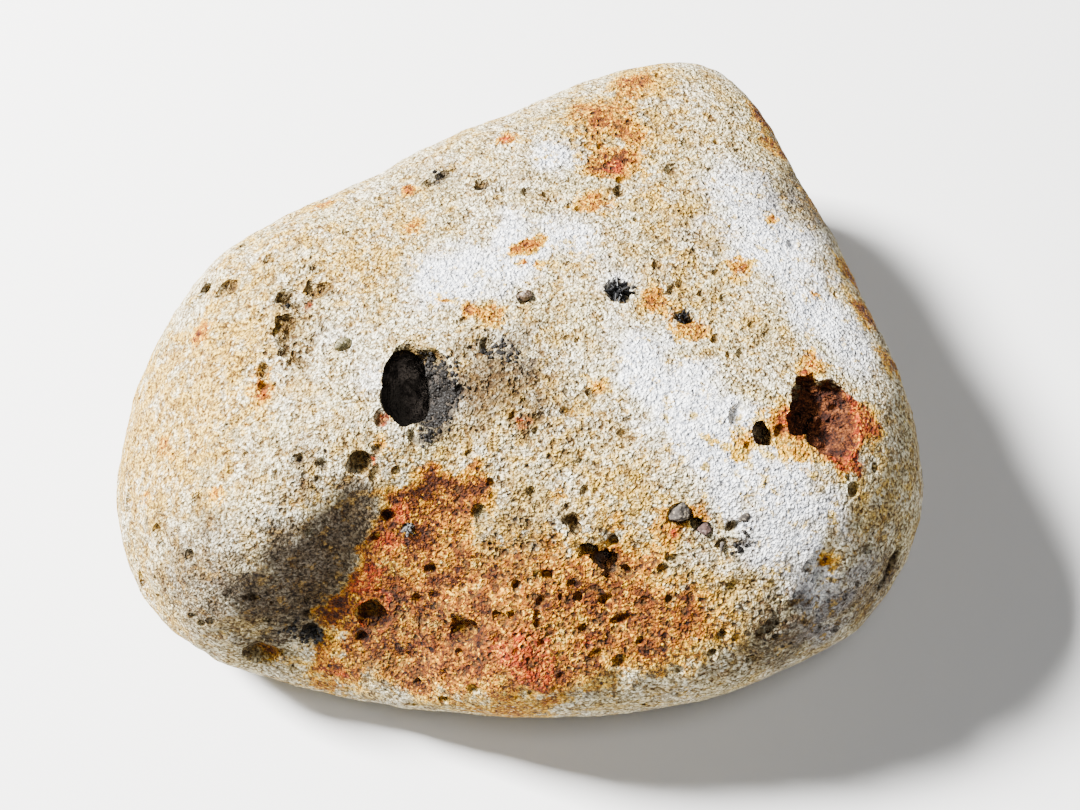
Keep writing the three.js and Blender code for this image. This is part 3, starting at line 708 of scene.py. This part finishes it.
# Soot-black mineral dust; the first place, deep in the large hole, is painted shade as well
SOOT_AND_HOLE_SHADE = (
    ((-13.8, -9.6, 29), 3.6, 1.2), ((-9.8, -8.6, 32.4), 2.4, 1.1), ((-9.4, -9.6, 31.6), 3, 1.7),
    ((-9, -12, 32), 3, 1.6), ((-7.4, -10.6, 33.4), 2.2, 1), ((-9, -13.8, 33), 2, 1.2),
    ((-9.5, -15.2, 32.6), 1, 1), ((-7.6, -7.4, 34.2), 1.2, 0.7), ((-1.6, -6.2, 34.7), 1.9, 0.75),
    ((0.6, -7.6, 34.8), 1.5, 0.7), ((-22.4, -29.5, 15.8), 1.6, 1), ((-23.6, -29.2, 17.6), 1, 0.8),
    ((22.6, -25.7, 30.4), 1, 0.9), ((31, -21.3, 31.5), 0.7, 0.8), ((10.4, 2, 33.6), 1.9, 1),
    ((-25, 0.8, 33), 0.9, 0.7), ((-25.2, 2.6, 32.4), 1.2, 0.6), ((-9.4, 19.2, 31.6), 1.6, 0.6),
    ((-4.3, 17.3, 31.8), 1.2, 0.8), ((17, -1.5, 33.8), 1.1, 0.8), ((17.5, 11.5, 33.6), 1.4, 0.4),
    ((-20, -17.8, 31.8), 1, 0.6), ((-22.4, -17.2, 31.6), 1.2, 0.5), ((2.2, 2.8, 34.4), 0.6, 0.7),
    ((-14.4, -16.4, 32.6), 0.8, 0.6), ((21, -24, 31.4), 1, 0.4), ((3, -27.5, 27.5), 0.5, 0.7),
)
# Partly grime, partly painted shade on the scar's wall, the shaded flanks and the underside
GRIME_AND_SHADE = (
    ((-36, -22, 20), 9, 0.35), ((-22, -27, 20), 7, 0.5), ((34, -24, 24), 7, 0.4),
    ((28, -31, 20), 8, 0.5), ((31, 14, 32), 6, 0.3), ((-2, -9, 34.6), 6, 0.5),
    ((-29.5, -26, 23), 8, 0.5), ((-15, -31, 15.5), 6, 0.6), ((-21, -25, 24), 6, 0.7),
    ((-4, -11.5, 34.5), 5, 0.6), ((32, 17, 30), 7, 0.5), ((0.5, -4, 34.8), 4, 0.3),
    ((-10.5, -25.5, 23), 3.5, 0.5), ((6, -29, 26.5), 3, 0.4), ((-33.5, -27, 20), 9, 0.4),
    ((-29.5, -24, 26), 7, 0.3), ((31, 18, 31), 7, 0.35), ((-7, -26, 24.5), 5, 0.45),
    ((2, -25.2, 28), 4, 0.5), ((-10, -30, 19), 5, 0.4), ((-20.5, -24, 25), 7, 0.95),
    ((-23.5, -28, 20), 6, 0.95), ((-16.6, -21.5, 28), 4, 1), ((-17.5, -23.5, 25.5), 3.2, 1),
    ((-27, -31, 14), 4, 0.5), ((-15, -31.4, 15.4), 6, 1), ((-1.5, -26.5, 26), 6.5, 0.75),
    ((-11.6, -31, 17), 5.5, 0.9), ((30, -30, 22), 6, 0.35), ((-3, -7, 34.6), 5, 0.5),
    ((4, -13, 34.3), 5, 0.45), ((1, -21, 31), 4, 0.3), ((-23, -2, 33), 5, 0.4),
    ((-22, -17.5, 32), 4, 0.5), ((20, 11, 33.5), 5, 0.3), ((24, -32, 24), 7, 0.5),
    ((-9, 19, 32), 4, 0.5), ((18, -24, 31), 3.5, 0.5), ((-28, -26, 21), 5, 0.3),
    ((9, -27, 28), 4.5, 0.4), ((-5, -25, 27), 5, 0.3), ((36, -26, 18), 9, 0.6),
    ((39, -24, 20), 2.6, 0.8), ((0, 0, 0), 26, 0.4),
)
MOST_CREAM = 0.7
STAIN_BLUR = 0.45
broken = 1 + STAIN_BLUR * waves(skin, size=2.6, octaves=3, shift=57)
keep_layers(
    pumice.data,
    "stains",
    stain(skin, RUST, broken),
    MOST_CREAM * stain(skin, CREAM, broken),
    stain(skin, CHALK, broken),
    openness(skin),
)
keep_layers(
    pumice.data,
    "hollows",
    depth,
    stain(skin, RED, broken),
    stain(skin, SOOT_AND_HOLE_SHADE, broken),
    stain(skin, GRIME_AND_SHADE, broken),
)

# Pumice is pale glass froth, rough at every scale, so it has no gloss. Its bubbles are 0.3 to
# 0.6 mm across with thin bright walls, and iron has stained it ochre, orange and red.
pumice_glass.use_nodes = True
glass = pumice_glass.node_tree
froth = glass.nodes["Principled BSDF"]
froth.inputs["Roughness"].default_value = 0.95
froth.inputs["Specular IOR Level"].default_value = 0.2
where = add_node(glass, "ShaderNodeTexCoord")
in_mm = add_node(
    glass, "ShaderNodeVectorMath", {0: where.outputs["Object"], "Scale": 1 / MM}, operation="SCALE"
)
stains = add_node(glass, "ShaderNodeAttribute", attribute_name="stains")
stain_parts = add_node(glass, "ShaderNodeSeparateColor", {0: stains})
hollow_marks = add_node(glass, "ShaderNodeAttribute", attribute_name="hollows")
hollow_parts = add_node(glass, "ShaderNodeSeparateColor", {0: hollow_marks})
rust_amount, cream_amount, chalk_amount = (stain_parts.outputs[i] for i in range(3))
hollow_depth, red_amount, soot_and_hole_shade_amount = (hollow_parts.outputs[i] for i in range(3))
open_amount, grime_and_shade_amount = stains.outputs["Alpha"], hollow_marks.outputs["Alpha"]
fine, middle, freckles, clots, hues, mottle, broad = (
    add_node(
        glass,
        "ShaderNodeTexNoise",
        {"Vector": in_mm, "Scale": 1 / size_mm, "Detail": detail, "Roughness": 0.6},
    )
    for size_mm, detail in ((0.34, 2), (0.85, 2), (1.4, 3), (1.3, 4), (2.4, 3), (2.9, 4), (5, 4))
)

# The froth's walls break into grains about 0.35 mm across, each of its own tone
GRAINS_PER_MM, WANDERS_PER_MM = 3, 1.4
jitter = add_node(
    glass, "ShaderNodeTexNoise", {"Vector": in_mm, "Scale": WANDERS_PER_MM, "Detail": 1}
)
jittered = add_node(
    glass,
    "ShaderNodeVectorMath",
    {0: jitter.outputs["Color"], 1: (0.5, 0.5, 0.5), 2: in_mm},
    operation="MULTIPLY_ADD",
)
grains = add_node(glass, "ShaderNodeTexVoronoi", {"Vector": jittered, "Scale": GRAINS_PER_MM})
grain_parts = add_node(glass, "ShaderNodeSeparateColor", {0: grains.outputs["Color"]})
chance = add_node(glass, "ShaderNodeMath", {0: grain_parts.outputs[0], 1: 0.5}, operation="SUBTRACT")


def stained(under, amount, low, high, most, tint, blend="MIX"):
    """The surface with a tint laid on: none where the amount is low, and its most where high."""
    share = add_node(
        glass,
        "ShaderNodeMapRange",
        {"Value": amount, "From Min": low, "From Max": high, "To Max": most},
        interpolation_type="SMOOTHSTEP",
    )
    return add_node(
        glass, "ShaderNodeMix", {0: share, 6: under, 7: tint}, data_type="RGBA", blend_type=blend
    )


FLECK_SHARE = 0.12  # of the grains, next to the clots


def patchy(amount, share):
    """A stain's amount, broken up by the clots and the grains of the froth."""
    flecked = add_node(
        glass, "ShaderNodeMath", {0: chance, 1: share * FLECK_SHARE, 2: amount}, operation="MULTIPLY_ADD"
    )
    clotted = add_node(
        glass, "ShaderNodeMath", {0: clots, 1: share, 2: flecked}, operation="MULTIPLY_ADD"
    )
    return add_node(glass, "ShaderNodeMath", {0: clotted, 1: 0.5 * share}, operation="SUBTRACT")


def worn_bubbles(cells_per_mm, reach_where_dense, more_where_open):
    """How deep each point lies in round bubbles of mixed sizes, and 0 between them."""
    cells = add_node(glass, "ShaderNodeTexVoronoi", {"Vector": jittered, "Scale": cells_per_mm})
    parts = add_node(glass, "ShaderNodeSeparateColor", {0: cells.outputs["Color"]})
    greatest = add_node(
        glass,
        "ShaderNodeMath",
        {0: open_amount, 1: more_where_open, 2: reach_where_dense},
        operation="MULTIPLY_ADD",
    )
    reach = add_node(glass, "ShaderNodeMath", {0: parts.outputs[0], 1: greatest}, operation="MULTIPLY")
    away = add_node(glass, "ShaderNodeMath", {0: cells, 1: reach}, operation="DIVIDE")
    return add_node(
        glass,
        "ShaderNodeMapRange",
        {"Value": away, "From Min": 0.4, "From Max": 1.15, "To Min": reach, "To Max": 0},
        interpolation_type="SMOOTHSTEP",
    )


# Small worn-open bubbles 0.3 to 1 mm across, too many to cut out one by one
sparse_bubbles = worn_bubbles(cells_per_mm=0.8, reach_where_dense=0.16, more_where_open=0.22)
froth_bubbles = worn_bubbles(cells_per_mm=1.5, reach_where_dense=-0.02, more_where_open=0.62)
coarse_share = add_node(glass, "ShaderNodeMath", {0: middle, 1: 0.6}, operation="MULTIPLY")
froth_level = add_node(
    glass, "ShaderNodeMath", {0: fine, 1: 0.4, 2: coarse_share}, operation="MULTIPLY_ADD"
)
opened_level = add_node(
    glass, "ShaderNodeMath", {0: open_amount, 1: -0.045, 2: froth_level}, operation="MULTIPLY_ADD"
)

# The glass itself: cream, mottled tan, bleached to chalk where it is worn dense, and freckled
tan_level = add_node(
    glass, "ShaderNodeMath", {0: open_amount, 1: 0.06, 2: mottle}, operation="MULTIPLY_ADD"
)
tan_level = add_node(
    glass, "ShaderNodeMath", {0: chalk_amount, 1: -0.12, 2: tan_level}, operation="MULTIPLY_ADD"
)
freckle_level = add_node(
    glass, "ShaderNodeMath", {0: chance, 1: 0.06, 2: freckles}, operation="MULTIPLY_ADD"
)
freckle_level = add_node(
    glass, "ShaderNodeMath", {0: chalk_amount, 1: -0.1, 2: freckle_level}, operation="MULTIPLY_ADD"
)
surface = stained("#e4d9ae", broad, 0.4, 0.62, 1, "#f3edd3")
surface = stained(surface, tan_level, 0.49, 0.66, 0.7, "#c8a64e")
surface = stained(surface, patchy(chalk_amount, 0.8), 0.2, 0.7, 0.95, "#ffffff")
surface = stained(surface, patchy(cream_amount, 2.6), 0.1, 0.75, 0.85, "#dcb030")
surface = stained(surface, freckle_level, 0.57, 0.67, 0.62, "#b0862c")
# Partly grime, partly painted shade: brown grey on the scar's wall, the flanks and the underside
surface = stained(surface, patchy(grime_and_shade_amount, 0.5), 0.1, 0.9, 0.75, "#524840")

# Iron stains: yellow at their thin edges, then ochre, orange and brown where they are thick
hue_shift = add_node(glass, "ShaderNodeMath", {0: hues, 1: 2.3, 2: -0.36}, operation="MULTIPLY_ADD")
hue_swing = add_node(
    glass, "ShaderNodeMath", {0: chance, 1: 0.8, 2: hue_shift}, operation="MULTIPLY_ADD"
)
hue_level = add_node(glass, "ShaderNodeMath", {0: rust_amount, 1: hue_swing}, operation="MULTIPLY")
rust_colours = add_node(glass, "ShaderNodeValToRGB", {0: hue_level})
rust_stops = rust_colours.color_ramp.elements
rust_stops[0].position, rust_stops[0].color = 0.12, colour("#ecc868")
rust_stops[1].position, rust_stops[1].color = 1.0, colour("#542600")
for position, code in ((0.3, "#eab22c"), (0.45, "#d08e0a"), (0.62, "#a86402"), (0.82, "#7c3e00")):
    rust_stops.new(position).color = colour(code)
surface = stained(surface, patchy(rust_amount, 1.7), 0.1, 0.42, 1, rust_colours)
# Partly grime, partly painted shade, multiplied over the rust as well
surface = stained(surface, patchy(grime_and_shade_amount, 0.9), 0.45, 1.0, 0.6, "#86684a", "MULTIPLY")
# Painted light: the red hole's walls turn lighter from 1.4 to 3 mm deep, where shade falls on them
cave_red_with_painted_light = stained("#b4703e", hollow_depth, 1.4, 3, 1, "#c8805a")
cave_red_with_painted_light = stained(cave_red_with_painted_light, clots, 0.56, 0.42, 0.9, "#5a2812")
red_skin = stained("#a43a02", grain_parts.outputs[2], 0.35, 0.95, 0.9, "#f29a26")
red_colour = stained(red_skin, hollow_depth, 0.4, 1.2, 1, cave_red_with_painted_light)
surface = stained(surface, patchy(red_amount, 1.2), 0.3, 0.65, 1, red_colour)

# Painted shade: the small bubbles, the cut hollows, the pits of the froth and the gaps between
# grains are darkened where shade would fall in them, grey where chalky, brown where rusty. The
# grains also vary in tone at random.
painted_pit_shade, painted_bowl_shade, dull_grain, painted_gap_shade, painted_dense_shade = (
    stained(plain, chalk_amount, 0.2, 0.8, 1, chalky)
    for plain, chalky in (
        ("#7c6c4c", "#9a9da3"),
        ("#a0947c", "#b2b5b8"),
        ("#a59b8b", "#c6c7ca"),
        ("#7a6c4e", "#a9adb6"),
        ("#b5a27c", "#d4d4d4"),
    )
)
painted_pit_shade = stained(painted_pit_shade, rust_amount, 0.2, 0.7, 1, "#684218")
painted_gap_shade = stained(painted_gap_shade, rust_amount, 0.2, 0.7, 1, "#94784c")
# Painted shade in the small bubbles, and in the cut hollows as they deepen
surface = stained(surface, sparse_bubbles, 0.02, 0.2, 0.85, painted_pit_shade, "MULTIPLY")
surface = stained(surface, froth_bubbles, 0.02, 0.3, 0.85, painted_pit_shade, "MULTIPLY")
surface = stained(surface, hollow_depth, 0.14, 0.7, 1, painted_bowl_shade, "MULTIPLY")
grain_tone = stained(dull_grain, grain_parts.outputs[1], 0, 1, 1, "#ffffff")
surface = add_node(
    glass, "ShaderNodeMix", {0: 1, 6: surface, 7: grain_tone}, data_type="RGBA", blend_type="MULTIPLY"
)
# Painted shade in the gaps between the grains
gapped = stained(surface, grains, 0.3, 0.68, 1, painted_gap_shade, "MULTIPLY")
surface = stained(surface, fine, 0.65, 0.42, 0.95, gapped)
# Painted shade in the pits of the froth, darker where it is open
dense_pits = add_node(
    glass, "ShaderNodeMix", {0: 1, 6: surface, 7: painted_dense_shade}, data_type="RGBA", blend_type="MULTIPLY"
)
open_pits_painted_shade = add_node(glass, "ShaderNodeMix", {0: 0.6, 6: surface, 7: "#4a3210"}, data_type="RGBA")
froth_pits = stained(dense_pits, open_amount, 0.25, 0.95, 1, open_pits_painted_shade)
surface = stained(surface, opened_level, 0.47, 0.36, 1, froth_pits)
# Nearly black painted shade in the deepest pits of the open froth
deep_pits_painted_shade = stained(surface, opened_level, 0.4, 0.32, 1, "#33200a")
surface = stained(surface, open_amount, 0.3, 1, 0.7, deep_pits_painted_shade)

# The walls of the deep holes, dark grey below 1.5 mm, partly their own colour and partly painted
# shade, and the soot-black mineral dust around some of them
cave_grey_and_shade = stained("#2c2622", clots, 0.4, 0.62, 1, "#6a6058")
cave_grey_and_shade = stained(cave_grey_and_shade, rust_amount, 0.1, 0.5, 1, "#6e4220")
cave = stained(surface, hollow_depth, 1.5, 3, 1, cave_grey_and_shade)
surface = stained(cave, red_amount, 0.2, 0.5, 1, surface)
# Soot-black mineral dust, and painted shade deep in the large hole
surface = stained(surface, patchy(soot_and_hole_shade_amount, 2.2), 0.25, 0.85, 0.9, "#332e29")
glass.links.new(surface.outputs[2], froth.inputs["Base Color"])
relief = add_node(glass, "ShaderNodeMath", {0: opened_level, 1: 1.1}, operation="MULTIPLY")
for sunk, share in ((grains, 0.28), (sparse_bubbles, 1.0), (froth_bubbles, 0.7)):
    relief = add_node(
        glass, "ShaderNodeMath", {0: sunk, 1: -share, 2: relief}, operation="MULTIPLY_ADD"
    )
rough_skin = add_node(glass, "ShaderNodeBump", {"Distance": MM, "Height": relief})
glass.links.new(rough_skin.outputs[0], froth.inputs["Normal"])

CRISP_EDGE = math.radians(38)
pumice.data.shade_smooth()
pumice.data.set_sharp_from_angle(angle=CRISP_EDGE)
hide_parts("pumice_body")
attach(pumice, "root")

# Lodged rock and sand: four grains of lava caught in the froth by the right side, and two
# worn sand grains pressed into open bubbles. Each broke off a larger rock and was worn round.
NEAREST_FACE, FARTHEST_FACE = 0.86, 1.04  # from a grain's middle, in times its radius
GRAIN_ROUGHNESS = 0.09
BUMPS_A_RADIUS = 2.4
FLECKS_A_PATCH = 2.2


def grain_piece(name, half, proud, turn, planes, wear):
    """A grain of this many broken faces, worn round at its edges, at its place in the skin."""
    mesh = ball(name + "_worn", 5)
    way = vertices_mm(mesh)
    draw = np.random.default_rng(planes)
    cuts = draw.normal(size=(planes, 3))
    cuts /= np.linalg.norm(cuts, axis=1)[:, None]
    reach = np.clip(way @ cuts.T, 0, None) / draw.uniform(NEAREST_FACE, FARTHEST_FACE, planes)
    shape = way / ((reach**wear).sum(-1) ** (1 / wear))[:, None]
    bumps = waves(way * BUMPS_A_RADIUS, size=1, octaves=3, shift=planes * 5)
    shape = shape * (1 + GRAIN_ROUGHNESS * bumps)[:, None]
    shape = shape / np.abs(shape).max(0) * half + (0, 0, proud)
    set_vertices_mm(mesh, place(shape, skin_frame(name, turn)))
    mesh.shade_smooth()
    piece = linked(name + "_worn", mesh)
    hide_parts(name)
    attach(piece, "root")
    return piece


def grain_material(name, pale, dark, speck, speck_mm, roughness):
    """Speckled rock: two tones in patches, with flecks of a third."""
    material = bpy.data.materials.new(name)
    material.use_nodes = True
    tree = material.node_tree
    face = tree.nodes["Principled BSDF"]
    face.inputs["Roughness"].default_value = roughness
    face.inputs["Specular IOR Level"].default_value = 0.25
    spot = add_node(tree, "ShaderNodeTexCoord")
    spot_mm = add_node(
        tree, "ShaderNodeVectorMath", {0: spot.outputs["Object"], "Scale": 1 / MM}, operation="SCALE"
    )
    patches = add_node(
        tree, "ShaderNodeTexNoise", {"Vector": spot_mm, "Scale": 1 / speck_mm, "Detail": 3}
    )
    flecks = add_node(
        tree, "ShaderNodeTexVoronoi", {"Vector": spot_mm, "Scale": FLECKS_A_PATCH / speck_mm}
    )
    fleck_parts = add_node(tree, "ShaderNodeSeparateColor", {0: flecks.outputs["Color"]})
    pale_share = add_node(
        tree, "ShaderNodeMapRange", {"Value": patches, "From Min": 0.4, "From Max": 0.6}
    )
    fleck_share = add_node(
        tree, "ShaderNodeMapRange", {"Value": fleck_parts.outputs[0], "From Min": 0.78, "From Max": 0.8}
    )
    base = add_node(tree, "ShaderNodeMix", {0: pale_share, 6: dark, 7: pale}, data_type="RGBA")
    flecked = add_node(tree, "ShaderNodeMix", {0: fleck_share, 6: base, 7: speck}, data_type="RGBA")
    tree.links.new(flecked.outputs[2], face.inputs["Base Color"])
    uneven_face = add_node(
        tree, "ShaderNodeBump", {"Strength": 0.8, "Distance": 0.12 * MM, "Height": patches}
    )
    tree.links.new(uneven_face.outputs[0], face.inputs["Normal"])
    return material


# Lava is matt and speckled with ash and dark glass, and one grain has rusted. Water has worn the
# sand smoother, which gives it a soft gloss.
grey_lava = grain_material("grey lava, worn rough", "#46403a", "#29241f", "#6b6152", 0.5, 0.85)
red_lava = grain_material("reddened lava, worn rough", "#46342e", "#281c19", "#5b4a44", 0.5, 0.85)
worn_sand = grain_material("quartz sand, water worn", "#655444", "#43362b", "#85756a", 0.6, 0.5)
olive_sand = grain_material("olive rock sand, water worn", "#655d42", "#454029", "#7a7358", 0.6, 0.5)
for name, half, proud, turn, planes, wear, slot_name, stone in (
    ("lithic_grain_large", (1.15, 1.0, 0.95), 0.0, 20, 17, 8, "lithic_grain", grey_lava),
    ("lithic_grain_mid", (0.8, 0.7, 0.7), 0.0, 0, 15, 8, "lithic_grain", red_lava),
    ("lithic_grain_small", (0.7, 0.6, 0.6), 0.0, 40, 16, 8, "lithic_grain", grey_lava),
    ("lithic_grain_outer", (0.7, 0.6, 0.6), -0.35, 10, 18, 8, "lithic_grain", grey_lava),
    ("sand_grain_round", (0.8, 0.7, 0.7), 0.1, 0, 17, 5, "sand_grain", worn_sand),
    ("sand_grain_oval", (1.0, 0.8, 0.7), -0.2, 25, 19, 5, "sand_grain", olive_sand),
):
    piece = grain_piece(name, half, proud, turn, planes, wear)
    piece.data.materials.append(stone)

# Crystals: two star-shaped clusters of black pyroxene and one of clear feldspar in the scar, each
# made of short six-sided prisms that grew outward from a seed in a gas bubble
tree, given = begin_tree(
    "crystal cluster",
    Float=["Prism length", "Prism radius", "Lean"],
    Int=["Prisms", "Seed"],
    Material=["Crystal"],
)
SEEDS_PER_SQUARE_METRE = 1.0e8  # more than any cluster keeps
seeds = add_node(
    tree,
    "GeometryNodeDistributePointsOnFaces",
    {"Mesh": given["Geometry"], "Density": SEEDS_PER_SQUARE_METRE, "Seed": given["Seed"]},
    distribute_method="RANDOM",
)
order = add_node(tree, "GeometryNodeInputIndex")
surplus = add_node(
    tree,
    "FunctionNodeCompare",
    {2: order, 3: given["Prisms"]},
    data_type="INT",
    operation="GREATER_EQUAL",
)
chosen = add_node(
    tree,
    "GeometryNodeDeleteGeometry",
    {"Geometry": seeds.outputs["Points"], "Selection": surplus},
    domain="POINT",
)
prism = add_node(
    tree,
    "GeometryNodeMeshCone",
    {"Vertices": 6, "Radius Top": 0.45, "Radius Bottom": 1.0, "Depth": 1.0},
)
prism_size = add_node(
    tree,
    "ShaderNodeCombineXYZ",
    {0: given["Prism radius"], 1: given["Prism radius"], 2: given["Prism length"]},
)
# The prisms grew to between half and a little more than their full size
prism_growth = add_node(
    tree, "FunctionNodeRandomValue", {2: 0.55, 3: 1.2, "Seed": 3}, data_type="FLOAT"
)
prism_extent = add_node(
    tree, "ShaderNodeVectorMath", {0: prism_size, "Scale": prism_growth}, operation="SCALE"
)
lean_back = add_node(tree, "ShaderNodeMath", {0: given["Lean"], 1: -1.0}, operation="MULTIPLY")
least_lean = add_node(tree, "ShaderNodeCombineXYZ", {0: lean_back, 1: lean_back})
most_lean = add_node(tree, "ShaderNodeCombineXYZ", {0: given["Lean"], 1: given["Lean"], 2: FULL_TURN})
prism_lean = add_node(
    tree, "FunctionNodeRandomValue", {0: least_lean, 1: most_lean, "Seed": 5}, data_type="FLOAT_VECTOR"
)
prism_turn = add_node(
    tree,
    "FunctionNodeRotateRotation",
    {0: seeds.outputs["Rotation"], 1: prism_lean},
    rotation_space="LOCAL",
)
prisms = add_node(
    tree,
    "GeometryNodeInstanceOnPoints",
    {
        "Points": chosen,
        "Instance": prism.outputs["Mesh"],
        "Rotation": prism_turn,
        "Scale": prism_extent,
    },
)
joined = add_node(tree, "GeometryNodeJoinGeometry")
tree.links.new(prisms.outputs[0], joined.inputs[0])
tree.links.new(given["Geometry"], joined.inputs[0])
end_tree(tree, joined, given["Crystal"])


def crystal_material(name, code, roughness, gloss):
    """One clean colour, whose faces glint as much as its roughness and gloss let them."""
    material = bpy.data.materials.new(name)
    material.use_nodes = True
    face = material.node_tree.nodes["Principled BSDF"]
    face.inputs["Base Color"].default_value = colour(code)
    face.inputs["Roughness"].default_value = roughness
    face.inputs["Specular IOR Level"].default_value = gloss
    return material


# Pyroxene grows smooth black faces that glint softly. Feldspar is clear, so it looks dark grey in
# its bubble, and it glints sharply.
SEED_SINK = 0.3
pyroxene = crystal_material("black pyroxene, grown faces", "#0d0d0f", 0.45, 0.4)
feldspar = crystal_material("clear feldspar, grown faces", "#605e5b", 0.12, 0.8)
for name, core, turn, count, length, radius, lean, seed, slot_name, mineral in (
    ("dark_crystal_centre", (0.5, 0.65, 0.3), 30, 60, 1.35, 0.2, 0.8, 2, "dark_crystal", pyroxene),
    ("dark_crystal_right", (0.32, 0.26, 0.2), 15, 30, 0.85, 0.16, 0.8, 6, "dark_crystal", pyroxene),
    ("pale_crystal_scar", (0.3, 0.28, 0.2), 40, 34, 0.7, 0.15, 0.9, 9, "pale_crystal", feldspar),
):
    mesh = ball(name + "_cluster", 2)
    seed_shape = vertices_mm(mesh) * core - (0, 0, SEED_SINK)
    set_vertices_mm(mesh, place(seed_shape, skin_frame(name, turn)))
    cluster = linked(name + "_cluster", mesh)
    apply_tree(
        cluster,
        tree,
        {
            "Prisms": count,
            "Prism length": length * MM,
            "Prism radius": radius * MM,
            "Lean": lean,
            "Seed": seed,
            "Crystal": mineral,
        },
    )
    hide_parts(name)
    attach(cluster, "root")

# Mineral crust: black grains, a few tenths of a millimetre across, that grew on the rim
# of the large hole and in some of the open bubbles. Each is an angular crumb stuck to the froth.
tree, given = begin_tree(
    "mineral crumbs",
    Float=["Crumbs per square metre", "Least radius", "Greatest radius"],
    Int=["Seed"],
    Material=["Mineral"],
)
crust_share = add_node(tree, "GeometryNodeInputNamedAttribute", {"Name": "crust"})
crowd = add_node(
    tree,
    "ShaderNodeMath",
    {0: crust_share.outputs["Attribute"], 1: given["Crumbs per square metre"]},
    operation="MULTIPLY",
)
points = add_node(
    tree,
    "GeometryNodeDistributePointsOnFaces",
    {"Mesh": given["Geometry"], "Density": crowd, "Seed": given["Seed"]},
    distribute_method="RANDOM",
)
size = add_node(
    tree,
    "FunctionNodeRandomValue",
    {2: given["Least radius"], 3: given["Greatest radius"], "Seed": 1},
    data_type="FLOAT",
)
squash = add_node(
    tree,
    "FunctionNodeRandomValue",
    {0: (0.7, 0.7, 0.7), 1: (1.3, 1.3, 1.3), "Seed": 2},
    data_type="FLOAT_VECTOR",
)
extent = add_node(tree, "ShaderNodeVectorMath", {0: squash, "Scale": size}, operation="SCALE")
spin = add_node(
    tree,
    "FunctionNodeRandomValue",
    {0: (0.0, 0.0, 0.0), 1: (FULL_TURN, FULL_TURN, FULL_TURN), "Seed": 3},
    data_type="FLOAT_VECTOR",
)
crumb = add_node(tree, "GeometryNodeMeshIcoSphere", {"Radius": 1.0, "Subdivisions": 1})
crumbs = add_node(
    tree,
    "GeometryNodeInstanceOnPoints",
    {
        "Points": points.outputs["Points"],
        "Instance": crumb.outputs["Mesh"],
        "Rotation": spin,
        "Scale": extent,
    },
)
end_tree(tree, crumbs, given["Mineral"])

CRUST = (  # a place, its reach in mm and how thickly the crumbs lie
    ((-7.6, -8.2, 34), 1.7, 0.9), ((-7.6, -10.4, 33.4), 2.1, 1), ((-8.3, -12.8, 33.2), 2, 1),
    ((-8.8, -10.6, 32), 1.8, 0.9), ((-9.2, -14.9, 33), 1.3, 1), ((-3.4, -5.7, 34.4), 1, 0.9),
    ((-2, -5.1, 34.6), 0.9, 0.9), ((-0.5, -6.7, 34.6), 1.1, 0.9), ((-22.5, -29.7, 15.6), 1.3, 0.9),
    ((-24.4, -29.3, 16.8), 0.9, 0.8), ((21.9, -26.2, 29.8), 0.8, 0.9), ((22.9, -24.4, 31), 0.7, 0.7),
    ((-9.4, 19.2, 31.6), 1, 0.4), ((-25.1, 1.6, 32.4), 0.9, 0.6), ((10.5, 2, 33.9), 1.9, 0.5),
    ((-9.7, -5.2, 33), 1.2, 0.9), ((-9.6, -7.2, 32.8), 1.5, 1), ((-9.6, -9.3, 32.5), 1.5, 1),
    ((-9.6, -11.2, 32.6), 1.5, 1), ((-9.9, -8.4, 31), 1.3, 0.8), ((-9.9, -10.6, 31), 1.3, 0.8),
)
host = pumice.data.copy()
keep_numbers(host, "crust", stain(skin, CRUST, blur=1) ** 2)
crust = linked("mineral_crust", host)
# Its crumbs are dull black with hardly any gloss
black_mineral = crystal_material("black iron mineral, grown as crumbs", "#14110e", 0.6, 0.18)
apply_tree(
    crust,
    tree,
    {
        "Crumbs per square metre": 1.8e7,
        "Least radius": 0.1 * MM,
        "Greatest radius": 0.3 * MM,
        "Seed": 3,
        "Mineral": black_mineral,
    },
)
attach(crust, "root")

# The stage: a sheet of pale matt paper under the stone, a small window light from the upper left,
# a soft ceiling light and a dim room, with the camera well above the stone's front
FLOOR_REACH = 2.0
corners = [(x * FLOOR_REACH, y * FLOOR_REACH, 0) for x, y in ((-1, -1), (1, -1), (1, 1), (-1, 1))]
floor_mesh = bpy.data.meshes.new("floor")
floor_mesh.from_pydata(corners, [], [(0, 1, 2, 3)])
floor = linked("floor", floor_mesh)
paper = bpy.data.materials.new("pale paper, uncoated")
paper.use_nodes = True
shader = paper.node_tree.nodes["Principled BSDF"]
shader.inputs["Base Color"].default_value = colour("#cecdcb")
shader.inputs["Roughness"].default_value = 0.9
floor.data.materials.append(paper)

AIM_MM = (2.1, 0.2, 13)
CAMERA_RISE = math.radians(60)
CAMERA_AWAY_MM = 177.75
camera = linked("camera", bpy.data.cameras.new("camera"))
camera.data.lens = 50
camera.data.sensor_width = 36
camera.data.clip_start = 0.01
away = Vector((0, -math.cos(CAMERA_RISE), math.sin(CAMERA_RISE)))
camera.location = (Vector(AIM_MM) + away * CAMERA_AWAY_MM) * MM
camera.rotation_euler = (math.pi / 2 - CAMERA_RISE, 0, 0)
bpy.context.scene.camera = camera

for name, width, watts, side, distance in (  # width and distance in metres
    ("window light", 0.14, 51, (-0.66, 0.2, 0.72), 0.7),
    ("ceiling light", 0.3, 3.6, (0.05, -0.28, 0.96), 0.9),
):
    light = linked(name, bpy.data.lights.new(name, "AREA"))
    light.data.size = width
    light.data.energy = watts
    toward = Vector(side).normalized()
    light.location = toward * distance
    light.rotation_euler = toward.to_track_quat("Z", "Y").to_euler()
world = bpy.data.worlds.new("soft room")
bpy.context.scene.world = world
world.use_nodes = True
world.node_tree.nodes["Background"].inputs["Color"].default_value = colour("#e7efff")
world.node_tree.nodes["Background"].inputs["Strength"].default_value = 0.07
